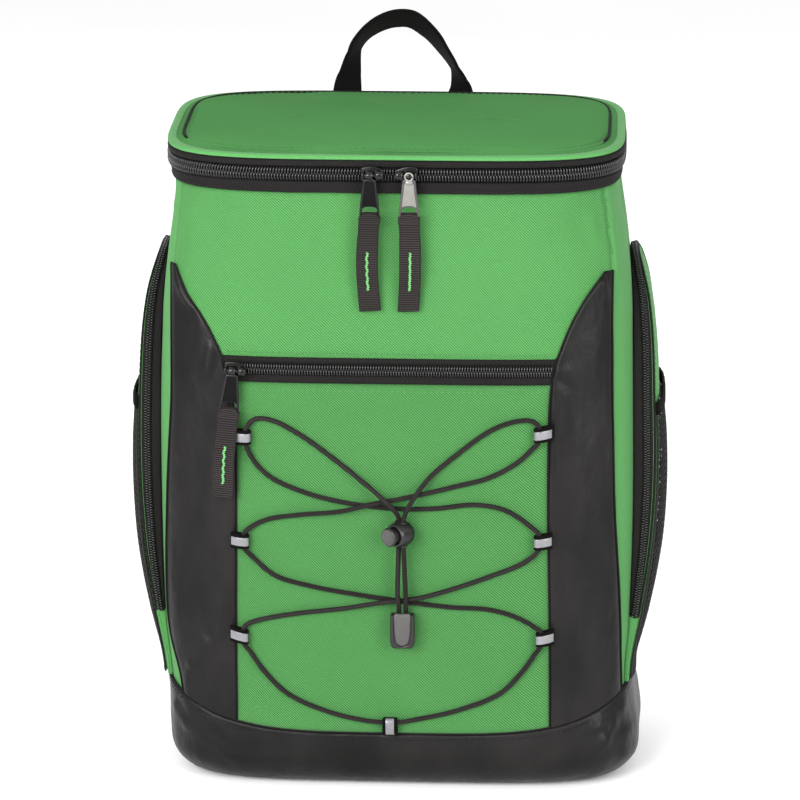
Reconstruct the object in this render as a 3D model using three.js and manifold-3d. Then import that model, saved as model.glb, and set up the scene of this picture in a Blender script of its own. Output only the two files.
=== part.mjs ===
// Insulated cooler backpack with a full-width zipped lid, a zipped front pocket under an
// elastic cord, zipped side pockets with net bottle pockets on them, a coated base and a haul
// loop. Millimetres, +Z up, front towards -Y, origin at the centre of the flat bottom.
import * as THREE from 'three';
import { mergeVertices } from 'three/addons/utils/BufferGeometryUtils.js';
import Module from 'manifold-3d';

const wasm = await Module();
wasm.setup();

// Body
const BODY_WIDTH = 318;
const BODY_DEPTH = 180;
const BODY_HEIGHT = 405;
const CORNER_POWER = 4.5;
const BOTTOM_ROUND = 22;
const WALL = 5;
const CLOTH = 1.3;
const PANEL_PAD = 2.6;
const LAYER_GAP = 0.6;
const EDGE_GAP = 0.8;
const SEAT = 0.3;
const BOOT_WALL = 1.7;
const SEAM_FRONT = 40;
const SEAM_CORNER_RISE = 28;
const LID_RISE = 9;
const PANEL_HALF = 103.5;

// Lid and its zip
const TAPE_LOWER = 8;
const COIL = 9.6;
const TAPE_UPPER = 4.4;
const COIL_PROUD = 3.4;
const BAND_PROUD = 2.2;
const LID_EDGE = 3;
const LID_CROWN = 5.5;
const LID_PIPING = 2.2;
const LID_PIPING_INSET = 7;
const HINGE_TURN = 45;
const HINGE_END_GAP = 0.4;

// Front pocket zip
const POCKET_ZIP_DROP = 108.5;
const POCKET_TAPE = 17;
const POCKET_COIL = 8.4;
const POCKET_COIL_PROUD = 2.4;

// Zip sliders and pulls
const SLIDER_WIDTH = 9;
const SLIDER_LENGTH = 12.5;
const SLIDER_THICK = 3.6;
const BAR_RADIUS = 0.9;
const EYE_CLEARANCE = 0.35;
const EYE_WALL = 1.0;
const EYE_WIDTH = 3.8;
const PULL_LENGTH = 28;
const PULL_TOP_WIDTH = 6.5;
const PULL_WIDTH = 12.4;
const PULL_THICK = 1.8;
const PULL_HOLE = 4.4;
const PULL_HOLE_WIDTH = 8.4;
const RIBBON_WIDTH = 14;
const RIBBON_LENGTH = 62;
const POCKET_RIBBON_LENGTH = 57;
const RIBBON_THICK = 1.4;
const LEFT_SLIDER_X = -15.2;
const RIGHT_SLIDER_X = 10.2;
const PULL_LEAN = 3.2;
const POCKET_PULL_TILT = 5;

// Side pockets, net pockets
const ARCH_HALF = 52;
const ARCH_TOP = 351;
const ARCH_RISE = 126;
const ARCH_POWER = 2.2;
const SIDE_ZIP_END = 112;
const SIDE_BULGE = 11.5;
const SIDE_CROWN = 1.2;
const SIDE_CLOTH = 1.4;
const NET_TOP = 250;
const NET_BULGE = 18.8;
const NET_CLOTH = 1.3;
const NET_BINDING = 9;

// Elastic cord, its loops, cord lock and cord end
const CORD = 3.2;
const CORD_CLEARANCE = 0.7;
const STRAND_SPACING = 4.5;
const LOOP_HEIGHT = 9.5;
const LOOP_WALL = 1.2;
const LOOP_REACH = 7.5;
const LOCK_HEIGHT_AT = 182;
const LOCK_X = 5.5;
const LOCK_DIAMETER = 17;
const LOCK_LENGTH = 14;
const LOCK_TURN = 40;
const BUTTON_DIAMETER = 12.4;
const BUTTON_HEAD = 2.6;
const BUTTON_TRAVEL = 3;
const PLUNGER_DIAMETER = 10.4;
const PLUNGER_CLEARANCE = 0.35;
const END_WIDTH = 16;
const END_TOP_WIDTH = 11;
const END_HEIGHT = 22.5;
const END_THICK = 7.5;
const END_TOP_AT = 126;

// Haul loop, back panel and shoulder straps
const WEBBING = 20;
const WEBBING_THICK = 2.4;
const HANDLE_SPAN = 78;
const HANDLE_RISE = 62;
const HANDLE_DROP = 22;
const HANDLE_SHIFT = -2;
const BACK_PAD = 6;
const BACK_HALF = 112;
const BACK_LOW = 76;
const BACK_HIGH = 364;
const STRAP_WIDTH = 58;
const STRAP_PAD = 11;
const STRAP_WEBBING = 25;
const STRAP_STANDOFF = 36;
const BUCKLE_WIDTH = 32;
const BUCKLE_HEIGHT = 30;
const BUCKLE_THICK = 4.2;
const BUCKLE_BAR = 4;

const SIDES = 40;
const HALF_WIDTH = BODY_WIDTH / 2;
const HALF_DEPTH = BODY_DEPTH / 2;
const BOOT_OUT = SEAT + BOOT_WALL;
const ROUND_CENTRE = BOTTOM_ROUND + BOOT_OUT;
const BAND_LOW = BODY_HEIGHT;
const COIL_LOW = BAND_LOW + TAPE_LOWER;
const TAPE_HIGH = COIL_LOW + COIL;
const LID_LOW = TAPE_HIGH + TAPE_UPPER;
const POCKET_ZIP_TOP = BAND_LOW - POCKET_ZIP_DROP;
const ARCH_SPRING = ARCH_TOP - ARCH_RISE;
const HANDLE_TOP = LID_LOW + HANDLE_RISE;
const HANDLE_FOOT = BAND_LOW - HANDLE_DROP;

// Plan of the body: heights as shares of BODY_HEIGHT, half widths as shares of HALF_WIDTH and
// half depths as shares of HALF_DEPTH. The base sags to the wearer's left and pinches in at its seam.
const SKIN = [
  { up: 0.00, left: 0.950, right: 1.005, deep: 0.965 },
  { up: 0.08, left: 0.955, right: 1.010, deep: 0.975 },
  { up: 0.165, left: 0.965, right: 0.975, deep: 0.970 },
  { up: 0.27, left: 0.990, right: 0.990, deep: 0.988 },
  { up: 0.48, left: 1.000, right: 1.000, deep: 1.000 },
  { up: 0.64, left: 0.996, right: 0.992, deep: 1.000 },
  { up: 0.80, left: 0.975, right: 0.970, deep: 0.994 },
  { up: 0.88, left: 0.953, right: 0.948, deep: 0.985 },
  { up: 0.96, left: 0.928, right: 0.918, deep: 0.966 },
  { up: 1.00, left: 0.922, right: 0.908, deep: 0.964 },
  { up: 1.06, left: 0.938, right: 0.918, deep: 0.985 },
  { up: 1.12, left: 0.938, right: 0.918, deep: 0.985 },
];

// Edge between the green middle and the charcoal wings, as shares of PANEL_HALF, and the
// corner seam, as shares of the body's half width at that height
const WING = [
  { up: 0.10, left: 1.010, right: 0.998, seamLeft: 0.925, seamRight: 0.968 },
  { up: 0.16, left: 1.010, right: 0.996, seamLeft: 0.935, seamRight: 0.965 },
  { up: 0.23, left: 1.009, right: 0.993, seamLeft: 0.960, seamRight: 0.950 },
  { up: 0.32, left: 1.006, right: 0.988, seamLeft: 0.965, seamRight: 0.935 },
  { up: 0.48, left: 1.000, right: 0.975, seamLeft: 0.950, seamRight: 0.905 },
  { up: 0.63, left: 1.005, right: 0.976, seamLeft: 0.930, seamRight: 0.900 },
  { up: 0.68, left: 1.030, right: 0.986, seamLeft: 0.930, seamRight: 0.902 },
  { up: 0.72, left: 1.070, right: 1.010, seamLeft: 0.934, seamRight: 0.905 },
  { up: 0.75, left: 1.120, right: 1.050, seamLeft: 0.938, seamRight: 0.908 },
  { up: 0.79, left: 1.205, right: 1.115, seamLeft: 0.944, seamRight: 0.912 },
  { up: 0.83, left: 1.320, right: 1.205, seamLeft: 0.952, seamRight: 0.920 },
  { up: 0.87, left: 1.400, right: 1.325, seamLeft: 0.966, seamRight: 0.932 },
];

// Swell of the side pocket and of the net over it, as shares of SIDE_BULGE and NET_BULGE
const SIDE = [
  { up: 0.160, swell: 0.10, net: 0.14 },
  { up: 0.200, swell: 0.12, net: 0.20 },
  { up: 0.240, swell: 0.20, net: 0.38 },
  { up: 0.280, swell: 0.36, net: 0.56 },
  { up: 0.340, swell: 0.60, net: 0.78 },
  { up: 0.400, swell: 0.80, net: 0.93 },
  { up: 0.480, swell: 0.95, net: 1.00 },
  { up: 0.555, swell: 1.00, net: 0.98 },
  { up: 0.620, swell: 1.00, net: 0.90 },
  { up: 0.740, swell: 0.96, net: 0.90 },
  { up: 0.800, swell: 0.82, net: 0.90 },
  { up: 0.840, swell: 0.58, net: 0.90 },
  { up: 0.870, swell: 0.34, net: 0.90 },
];

// Soft dents: where, as shares of half width and height, how deep, and their half sizes
const DENTS = [
  { x: -0.73, up: 0.950, deep: 3.5, wide: 0.12, high: 0.035 },
  { x: 0.79, up: 0.950, deep: 3.5, wide: 0.12, high: 0.035 },
];

const clamp01 = (t) => Math.min(1, Math.max(0, t));
const mix = (a, b, t) => a + (b - a) * t;
const ease = (t) => clamp01(t) ** 2 * (3 - 2 * clamp01(t));
const radians = (degrees) => (degrees * Math.PI) / 180;

// Smooth reading of one column of a table at a share of the height
function read(table, column, up) {
  const last = table.length - 1;
  if (up <= table[0].up) return table[0][column];
  if (up >= table[last].up) return table[last][column];
  let i = 0;
  while (table[i + 1].up < up) i += 1;
  const [p, q] = [table[i], table[i + 1]];
  const before = table[Math.max(0, i - 1)];
  const after = table[Math.min(last, i + 2)];
  const span = q.up - p.up;
  const slopeP = (q[column] - before[column]) / (q.up - before.up);
  const slopeQ = (after[column] - p[column]) / (after.up - p.up);
  const t = (up - p.up) / span;
  return p[column] * (1 + 2 * t) * (1 - t) ** 2 + slopeP * span * t * (1 - t) ** 2
    + q[column] * t * t * (3 - 2 * t) - slopeQ * span * t * t * (1 - t);
}

const share = (s) => s / BODY_HEIGHT;
const halfWidth = (s, right) => HALF_WIDTH * read(SKIN, right ? 'right' : 'left', share(s));
const halfDepth = (s) => HALF_DEPTH * read(SKIN, 'deep', share(s));
const lift = (y, s) => LID_RISE * ((y + HALF_DEPTH) / BODY_DEPTH) * ease((share(s) - 0.72) / 0.27);

function dent(x, y, s) {
  if (y > 0) return 0;
  let sum = 0;
  for (const d of DENTS) {
    const across = (x / HALF_WIDTH - d.x) / d.wide;
    const along = (share(s) - d.up) / d.high;
    sum += d.deep * Math.exp(-across * across - along * along);
  }
  return sum;
}

// A point of the body's skin, moved out by off, at an angle round the plan
function skin(angle, s, off) {
  const cos = Math.cos(angle);
  const sin = Math.sin(angle);
  const power = 2 / CORNER_POWER;
  const cx = Math.sign(cos) * Math.abs(cos) ** power;
  const sy = Math.sign(sin) * Math.abs(sin) ** power;
  const a = halfWidth(s, cos > 0);
  const b = halfDepth(s);
  const out = off - dent(cx * a, sy * b, s);
  const y = (b + out) * sy;
  return [(a + out) * cx, y, s + lift(y, s)];
}

const arch = (q) => Math.max(0, 1 - Math.abs(q) ** CORNER_POWER) ** (1 / CORNER_POWER);

function front(x, s, off) {
  const out = off - dent(x, -1, s);
  const y = -(halfDepth(s) + out) * arch(x / (halfWidth(s, x > 0) + out));
  return [x, y, s + lift(y, s)];
}

function back(x, s, off) {
  const y = (halfDepth(s) + off) * arch(x / (halfWidth(s, x > 0) + off));
  return [x, y, s + lift(y, s)];
}

function flank(side, y, s, off) {
  const x = side * (halfWidth(s, side > 0) + off) * arch(y / (halfDepth(s) + off));
  return [x, y, s + lift(y, s)];
}

// Top edge of the base, rising from the middle to the corners
const seam = (q) => SEAM_FRONT + SEAM_CORNER_RISE * Math.min(1, Math.abs(q)) ** 4;
function seamAt(x) {
  let s = SEAM_FRONT;
  for (let k = 0; k < 6; k += 1) s = seam(x / halfWidth(s, x > 0));
  return s;
}

// Closed bodies from rows of points
function finish(points, faces) {
  let volume = 0;
  for (const [a, b, c] of faces) {
    const [p, q, r] = [points[a], points[b], points[c]];
    volume += p[0] * (q[1] * r[2] - q[2] * r[1]) - p[1] * (q[0] * r[2] - q[2] * r[0])
      + p[2] * (q[0] * r[1] - q[1] * r[0]);
  }
  const geometry = new THREE.BufferGeometry();
  geometry.setAttribute('position', new THREE.Float32BufferAttribute(points.flat(), 3));
  geometry.setIndex(faces.flatMap(([a, b, c]) => (volume > 0 ? [a, b, c] : [a, c, b])));
  return geometry;
}

// Rows of equal length, each a closed loop; a row of one point closes an end
function loft(rows, closed = false) {
  const points = rows.flat();
  const starts = [];
  let next = 0;
  for (const row of rows) {
    starts.push(next);
    next += row.length;
  }
  const faces = [];
  const pairs = closed ? rows.length : rows.length - 1;
  for (let i = 0; i < pairs; i += 1) {
    const k = (i + 1) % rows.length;
    const n = Math.max(rows[i].length, rows[k].length);
    for (let j = 0; j < n; j += 1) {
      const m = (j + 1) % n;
      const a = starts[i] + (rows[i].length > 1 ? j : 0);
      const b = starts[i] + (rows[i].length > 1 ? m : 0);
      const c = starts[k] + (rows[k].length > 1 ? m : 0);
      const d = starts[k] + (rows[k].length > 1 ? j : 0);
      if (rows[i].length > 1) faces.push([a, b, c]);
      if (rows[k].length > 1) faces.push([a, c, d]);
    }
  }
  return finish(points, faces);
}

const centre = (row) => [0, 1, 2].map((k) => row.reduce((sum, p) => sum + p[k], 0) / row.length);

// A row of closed sections with both ends capped
const sweep = (rows) => loft([[centre(rows[0])], ...rows, [centre(rows[rows.length - 1])]]);

// A sheet with two faces: point(u, v, face), face 0 outside and 1 inside
function sheet(columns, rows, point) {
  const sections = [];
  for (let i = 0; i <= rows; i += 1) {
    const section = [];
    for (let j = 0; j <= columns; j += 1) section.push(point(j / columns, i / rows, 0));
    for (let j = columns; j >= 0; j -= 1) section.push(point(j / columns, i / rows, 1));
    sections.push(section);
  }
  const points = sections.flat();
  const size = 2 * (columns + 1);
  const faces = [];
  for (let i = 0; i < rows; i += 1) {
    for (let j = 0; j < size; j += 1) {
      const m = (j + 1) % size;
      const a = i * size + j;
      const b = i * size + m;
      faces.push([a, b, b + size], [a, b + size, a + size]);
    }
  }
  for (const i of [0, rows]) {
    for (let j = 0; j < columns; j += 1) {
      const a = i * size + j;
      const d = i * size + size - 1 - j;
      if (i === 0) faces.push([a, d, a + 1], [a + 1, d, d - 1]);
      else faces.push([a, a + 1, d], [a + 1, d - 1, d]);
    }
  }
  return finish(points, faces);
}

const angles = (from = 0, to = 360, steps = SIDES) => (
  Array.from({ length: steps }, (_, j) => radians(mix(from, to, j / steps)))
);

function toManifold(geometry) {
  const bare = geometry.clone();
  bare.deleteAttribute('normal');
  bare.deleteAttribute('uv');
  const merged = mergeVertices(bare, 1e-4);
  return new wasm.Manifold(new wasm.Mesh({
    numProp: 3,
    vertProperties: new Float32Array(merged.attributes.position.array),
    triVerts: new Uint32Array(merged.index.array),
  }));
}

function fromManifold(solid) {
  const mesh = solid.getMesh();
  const geometry = new THREE.BufferGeometry();
  geometry.setAttribute('position', new THREE.BufferAttribute(new Float32Array(mesh.vertProperties), 3));
  geometry.setIndex(new THREE.BufferAttribute(new Uint32Array(mesh.triVerts), 1));
  return geometry;
}

const join = (first, ...rest) => fromManifold(
  rest.reduce((sum, piece) => sum.add(toManifold(piece)), toManifold(first)),
);
const cut = (first, ...tools) => fromManifold(
  tools.reduce((left, tool) => left.subtract(toManifold(tool)), toManifold(first)),
);

function block(width, depth, height, x = 0, y = 0, z = 0) {
  return new THREE.BoxGeometry(width, depth, height).translate(x, y, z);
}

// An outline in X and Z, thick in Y about the middle
function slab(outline, thick) {
  const shape = new THREE.Shape(outline.map(([x, z]) => new THREE.Vector2(x, z)));
  return new THREE.ExtrudeGeometry(shape, { depth: thick, bevelEnabled: false })
    .rotateX(Math.PI / 2).translate(0, thick / 2, 0);
}

// A rod along X about the origin
const rodX = (radius, length, sides = 12) => (
  new THREE.CylinderGeometry(radius, radius, length, sides).rotateZ(Math.PI / 2)
);

const bag = new THREE.Group();
const green = { color: 0x57b45c, roughness: 0.82, metalness: 0 };
const charcoal = { color: 0x3c3936, roughness: 0.55, metalness: 0 };
const black = { color: 0x262322, roughness: 0.7, metalness: 0 };
const hard = { color: 0x1d1c1c, roughness: 0.3, metalness: 0.2 };
const steel = { color: 0x6e6e70, roughness: 0.3, metalness: 0.8 };
const net = { color: 0x232020, roughness: 0.85, metalness: 0 };

function add(name, geometry, look, parent = bag) {
  const mesh = new THREE.Mesh(geometry, new THREE.MeshStandardMaterial(look));
  mesh.name = name;
  parent.add(mesh);
  return mesh;
}

// Cup rows: a rounded bottom, then walls up to a height that may change round the plan
function cupRows(off, steps, heights) {
  const radius = BOTTOM_ROUND + off;
  const rows = [];
  for (let k = 0; k <= steps; k += 1) {
    const turn = radians((90 * k) / steps);
    const s = ROUND_CENTRE - radius * Math.cos(turn);
    const inset = radius * (1 - Math.sin(turn));
    rows.push(angles().map((angle) => skin(angle, s, off - inset)));
  }
  for (const height of heights) {
    rows.push(angles().map((angle) => skin(angle, typeof height === 'number' ? height : height(angle), off)));
  }
  return rows;
}

const bootTop = (angle) => seam(Math.abs(Math.cos(angle)) ** (2 / CORNER_POWER));
const bootMid = (angle) => mix(ROUND_CENTRE, bootTop(angle), 0.5);
const waist = (angle) => mix(bootTop(angle), 0.2 * BODY_HEIGHT, 0.5);
const rim = BODY_HEIGHT - SEAT;
const levels = (...shares) => shares.map((up) => up * BODY_HEIGHT);
const outerRows = cupRows(0, 3, [
  bootMid, bootTop, waist, ...levels(0.20, 0.24, 0.29, 0.37, 0.48, 0.63, 0.75, 0.83, 0.89, 0.94, 0.975), rim,
]);
const innerRows = cupRows(-WALL, 2, [bootTop, ...levels(0.42, 0.70, 0.88), rim]);
add('body_shell', loft([
  [[0, 0, BOOT_OUT]], ...outerRows, ...innerRows.reverse(), [[0, 0, BOOT_OUT + WALL]],
]), green);

// Coated base, outside the shell, its top edge rising to the corners
add('base_boot', loft([
  [[0, 0, 0]],
  ...cupRows(BOOT_OUT, 3, [bootMid, bootTop]),
  ...cupRows(SEAT, 3, [bootMid, bootTop]).reverse(),
  [[0, 0, BOOT_WALL]],
]), charcoal);

// Front wings, pocket panel and pocket zip
const inner = (side, s) => side * PANEL_HALF * read(WING, side > 0 ? 'right' : 'left', share(s));
const corner = (side, s) => (
  side * halfWidth(s, side > 0) * read(WING, side > 0 ? 'seamRight' : 'seamLeft', share(s))
);
const clothFace = (face, pad = CLOTH) => (face === 0 ? LAYER_GAP + pad : LAYER_GAP);
const WING_TIP = 0.868 * BODY_HEIGHT;
const WING_TIP_WIDTH = 2.5;

function wing(side) {
  return sheet(6, 14, (u, v, face) => {
    const s = mix(SEAM_FRONT, WING_TIP, v - 0.1 * Math.sin(2 * Math.PI * v));
    const outerEdge = corner(side, s);
    const wide = Math.max(WING_TIP_WIDTH, Math.abs(outerEdge - inner(side, s)));
    const x = outerEdge - side * wide * (1 - u);
    const raised = s + (seamAt(x) + LAYER_GAP - SEAM_FRONT) * (1 - v) ** 4;
    const narrower = halfWidth(raised, side > 0) / halfWidth(s, side > 0);
    return front(x * mix(1, narrower, u), raised, clothFace(face));
  });
}
add('wing_left', wing(-1), charcoal);
add('wing_right', wing(1), charcoal);

const zipLow = POCKET_ZIP_TOP - POCKET_TAPE;
const between = (s, u, gap = EDGE_GAP) => mix(inner(-1, s) + gap, inner(1, s) - gap, u);
add('front_pocket_panel', sheet(10, 8, (u, v, face) => {
  const s = mix(SEAM_FRONT, zipLow - SEAT, v);
  const x = between(s, u);
  const low = seamAt(x) + LAYER_GAP - SEAM_FRONT;
  return front(x, s + low * (1 - v) ** 3, clothFace(face, PANEL_PAD));
}), green);
add('pocket_zip_tape', sheet(10, 2, (u, v, face) => {
  const s = mix(zipLow, POCKET_ZIP_TOP, v);
  return front(between(s, u), s, clothFace(face));
}), black);
const pocketCoilLow = zipLow + (POCKET_TAPE - POCKET_COIL) * 0.6;
const coilOff = LAYER_GAP + CLOTH + SEAT;
add('pocket_zip_coil', sheet(10, 3, (u, v, face) => {
  const s = mix(pocketCoilLow, pocketCoilLow + POCKET_COIL, v);
  const round = 0.35 + 0.65 * Math.sqrt(Math.max(0, 1 - (2 * v - 1) ** 2));
  return front(between(s, u, EDGE_GAP + 1), s, face === 0 ? coilOff + POCKET_COIL_PROUD * round : coilOff);
}), black);

// Lid zip and lid
function band(profile, from = 0, to = 360, whole = true) {
  const steps = whole ? SIDES : Math.round(SIDES * ((to - from) / 360));
  const list = angles(from, to, steps);
  if (!whole) list.push(radians(to));
  const rows = list.map((angle) => profile.map(([off, s]) => skin(angle, s, off)));
  return whole ? loft(rows, true) : sweep(rows);
}
const bandInner = -WALL + 1.5;
add('zip_tape_lower', band([
  [bandInner, BAND_LOW], [BAND_PROUD, BAND_LOW],
  [BAND_PROUD, COIL_LOW - SEAT], [bandInner, COIL_LOW - SEAT],
]), black);
const coilTop = TAPE_HIGH - SEAT;
add('lid_zip_coil', band([
  [bandInner + 1, COIL_LOW], [BAND_PROUD - 0.6, COIL_LOW], [COIL_PROUD, COIL_LOW + COIL * 0.25],
  [COIL_PROUD, COIL_LOW + COIL * 0.72], [BAND_PROUD - 0.6, coilTop], [bandInner + 1, coilTop],
], 90 + HINGE_TURN, 450 - HINGE_TURN, false), black);
add('lid_hinge', band([
  [bandInner + 1, COIL_LOW], [BAND_PROUD - 0.4, COIL_LOW], [BAND_PROUD - 0.4, coilTop], [bandInner + 1, coilTop],
], 90 - HINGE_TURN + HINGE_END_GAP, 90 + HINGE_TURN - HINGE_END_GAP, false), black);
add('zip_tape_upper', band([
  [bandInner, TAPE_HIGH], [BAND_PROUD, TAPE_HIGH],
  [BAND_PROUD + 0.3, LID_LOW - SEAT], [bandInner, LID_LOW - SEAT],
]), black);

// Lid sections: how far in from the skin, and height above LID_LOW
const lidSections = [
  { off: 0.6, high: 0 },
  { off: 2.2, high: LID_EDGE * 0.35 },
  { off: 1.4, high: LID_EDGE * 0.8 },
  { off: -1.2, high: LID_EDGE },
  { off: -14, high: LID_EDGE + LID_CROWN * 0.42 },
  { off: -34, high: LID_EDGE + LID_CROWN * 0.82 },
  { off: -60, high: LID_EDGE + LID_CROWN },
];
const lidPole = (high) => [[0, 0, LID_LOW + high + lift(0, LID_LOW)]];
const lidPoint = (angle, off, high) => {
  const [x, y] = skin(angle, LID_LOW, off);
  return [x, y, LID_LOW + high + lift(y, LID_LOW)];
};
add('lid_top', loft([
  lidPole(0),
  ...lidSections.map(({ off, high }) => angles().map((angle) => lidPoint(angle, off, high))),
  lidPole(LID_EDGE + LID_CROWN * 1.02),
]), green);

function lidHeight(off) {
  const i = lidSections.findIndex((section, k) => k > 3 && section.off <= off);
  const [p, q] = [lidSections[i - 1], lidSections[i]];
  return mix(p.high, q.high, (off - p.off) / (q.off - p.off));
}
const pipeOuter = -LID_PIPING_INSET;
const pipeInner = pipeOuter - LID_PIPING;
add('lid_piping', loft(angles().map((angle) => [
  lidPoint(angle, pipeOuter, lidHeight(pipeOuter) + SEAT),
  lidPoint(angle, pipeOuter - LID_PIPING / 2, lidHeight(pipeOuter) + SEAT + LID_PIPING * 0.5),
  lidPoint(angle, pipeInner, lidHeight(pipeInner) + SEAT),
]), true), black);

// Zip sliders with a bridge bar across, and pulls whose eye turns on that bar
const EYE_INNER = BAR_RADIUS + EYE_CLEARANCE;
const EYE_OUTER = EYE_INNER + EYE_WALL;
const BAR_STANDOFF = SLIDER_THICK / 2 + EYE_OUTER + EYE_CLEARANCE;

function slider() {
  const half = SLIDER_LENGTH / 2;
  const outline = [
    [-SLIDER_WIDTH / 2, half * 0.6], [-SLIDER_WIDTH / 4, half], [SLIDER_WIDTH / 4, half],
    [SLIDER_WIDTH / 2, half * 0.6], [SLIDER_WIDTH / 2, -half], [-SLIDER_WIDTH / 2, -half],
  ];
  const cheek = EYE_WIDTH / 2 + EYE_CLEARANCE;
  const cheekWidth = SLIDER_WIDTH / 2 - cheek;
  const reach = BAR_STANDOFF + BAR_RADIUS;
  const pieces = [-1, 1].map((side) => block(
    cheekWidth, reach, 2 * BAR_RADIUS + 1, side * (cheek + cheekWidth / 2), -reach / 2, 0,
  ));
  const bar = rodX(BAR_RADIUS, SLIDER_WIDTH - cheekWidth).translate(0, -BAR_STANDOFF, 0);
  return join(slab(outline, SLIDER_THICK), ...pieces, bar);
}

// The pull hangs from the bar, which lies on its own X axis
function pull() {
  const outline = [
    [-PULL_TOP_WIDTH / 2, -EYE_OUTER * 0.6], [PULL_TOP_WIDTH / 2, -EYE_OUTER * 0.6],
    [PULL_WIDTH / 2, -PULL_LENGTH * 0.62], [PULL_WIDTH / 2, -PULL_LENGTH * 0.92],
    [PULL_WIDTH * 0.36, -PULL_LENGTH], [-PULL_WIDTH * 0.36, -PULL_LENGTH],
    [-PULL_WIDTH / 2, -PULL_LENGTH * 0.92], [-PULL_WIDTH / 2, -PULL_LENGTH * 0.62],
  ];
  const top = EYE_OUTER + EYE_CLEARANCE + 1;
  const plate = cut(
    slab(outline, PULL_THICK),
    block(2 * PULL_WIDTH, 2 * EYE_OUTER, 2 * top, 0, 0, 0),
    block(PULL_HOLE_WIDTH, 2 * PULL_THICK, PULL_HOLE, 0, 0, -PULL_LENGTH + 2 + PULL_HOLE / 2),
  );
  const neck = block(EYE_WIDTH, PULL_THICK, top - EYE_INNER, 0, 0, -(top + EYE_INNER) / 2 - 0.2);
  const eye = rodX(EYE_OUTER, EYE_WIDTH);
  return cut(join(plate, neck, eye), rodX(EYE_INNER, 2 * EYE_WIDTH));
}

// A ribbon folded through the hole of the pull and sewn to itself below
function ribbon(length) {
  const barLow = -PULL_LENGTH;
  const barHigh = -PULL_LENGTH + 2;
  const gap = SEAT;
  const out = PULL_THICK / 2 + gap;
  const neckWidth = PULL_HOLE_WIDTH - 2 * gap;
  const top = barHigh + gap + RIBBON_THICK;
  const low = barLow - gap;
  const leg = top - low + 1;
  const thick = 2 * out + 2 * RIBBON_THICK;
  const body = slab([
    [-neckWidth / 2, low], [neckWidth / 2, low], [RIBBON_WIDTH / 2, low - 5],
    [RIBBON_WIDTH / 2, low - length], [-RIBBON_WIDTH / 2, low - length], [-RIBBON_WIDTH / 2, low - 5],
  ], 2 * RIBBON_THICK);
  return join(
    body,
    block(neckWidth, thick, 1.2, 0, 0, low - 0.6),
    block(neckWidth, RIBBON_THICK, leg, 0, -(out + RIBBON_THICK / 2), top - leg / 2),
    block(neckWidth, RIBBON_THICK, leg, 0, out + RIBBON_THICK / 2, top - leg / 2),
    block(neckWidth, thick, RIBBON_THICK, 0, 0, top - RIBBON_THICK / 2),
  );
}

function zipPull(name, x, s, proud, length, tilt, lean, look) {
  const [, y, z] = front(x, s, proud + SEAT + SLIDER_THICK / 2);
  const holder = new THREE.Group();
  holder.position.set(x, y, z);
  holder.rotation.y = radians(tilt);
  bag.add(holder);
  add(`${name}_slider`, slider(), hard, holder);
  const hanging = new THREE.Group();
  hanging.position.set(0, -BAR_STANDOFF, 0);
  hanging.rotation.x = radians(lean);
  holder.add(hanging);
  add(`${name}_pull`, pull(), look, hanging);
  add(`${name}_ribbon`, ribbon(length), black, hanging);
}
const lidSliderAt = COIL_LOW + COIL * 0.62;
zipPull('lid_left', LEFT_SLIDER_X, lidSliderAt, COIL_PROUD, RIBBON_LENGTH, 0, PULL_LEAN, hard);
zipPull('lid_right', RIGHT_SLIDER_X, lidSliderAt, COIL_PROUD, RIBBON_LENGTH, 0, PULL_LEAN, steel);
const pocketSliderAt = pocketCoilLow + POCKET_COIL / 2;
zipPull(
  'pocket', inner(-1, pocketSliderAt) + SLIDER_WIDTH / 2 + 1, pocketSliderAt,
  coilOff + POCKET_COIL_PROUD, POCKET_RIBBON_LENGTH, POCKET_PULL_TILT, 0, hard,
);

// Side pockets: an arched zip in the flank and a swelling panel outside it
const swell = (s) => SIDE_BULGE * read(SIDE, 'swell', share(s));
const seamSide = SEAM_FRONT + SEAM_CORNER_RISE;

function archPath(t) {
  // t runs from the front end of the zip over the top to its rear end
  const straight = ARCH_SPRING - SIDE_ZIP_END;
  const bow = (Math.PI / 2) * ((ARCH_HALF + ARCH_TOP - ARCH_SPRING) / 2);
  const run = t * 2 * (straight + bow);
  const mirror = run > straight + bow;
  const along = mirror ? 2 * (straight + bow) - run : run;
  if (along < straight) return [mirror ? ARCH_HALF : -ARCH_HALF, SIDE_ZIP_END + along];
  const turn = ((along - straight) / bow) * (Math.PI / 2);
  const y = ARCH_HALF * Math.cos(turn) ** (2 / ARCH_POWER);
  return [mirror ? y : -y, ARCH_SPRING + (ARCH_TOP - ARCH_SPRING) * Math.sin(turn) ** (2 / ARCH_POWER)];
}

function archHalf(s) {
  if (s <= ARCH_SPRING) return ARCH_HALF;
  const q = Math.min(1, (s - ARCH_SPRING) / (ARCH_TOP - ARCH_SPRING));
  return ARCH_HALF * Math.max(0, 1 - q ** ARCH_POWER) ** (1 / ARCH_POWER);
}

// A strip that follows the zip: sections are rows of inset from the edge and share of the swell
function archStrip(side, section, steps = 20) {
  const rows = [];
  for (let i = 0; i <= steps; i += 1) {
    const t = i / steps;
    const [y, s] = archPath(t);
    const before = archPath(Math.max(0, t - 0.01));
    const after = archPath(Math.min(1, t + 0.01));
    const length = Math.hypot(after[0] - before[0], after[1] - before[1]);
    const ny = -(after[1] - before[1]) / length;
    const ns = (after[0] - before[0]) / length;
    rows.push(section.map(([out, high]) => {
      const yy = y + ny * out;
      const ss = s + ns * out;
      return flank(side, yy, ss, LAYER_GAP + swell(s) * high);
    }));
  }
  return sweep(rows);
}

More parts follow.
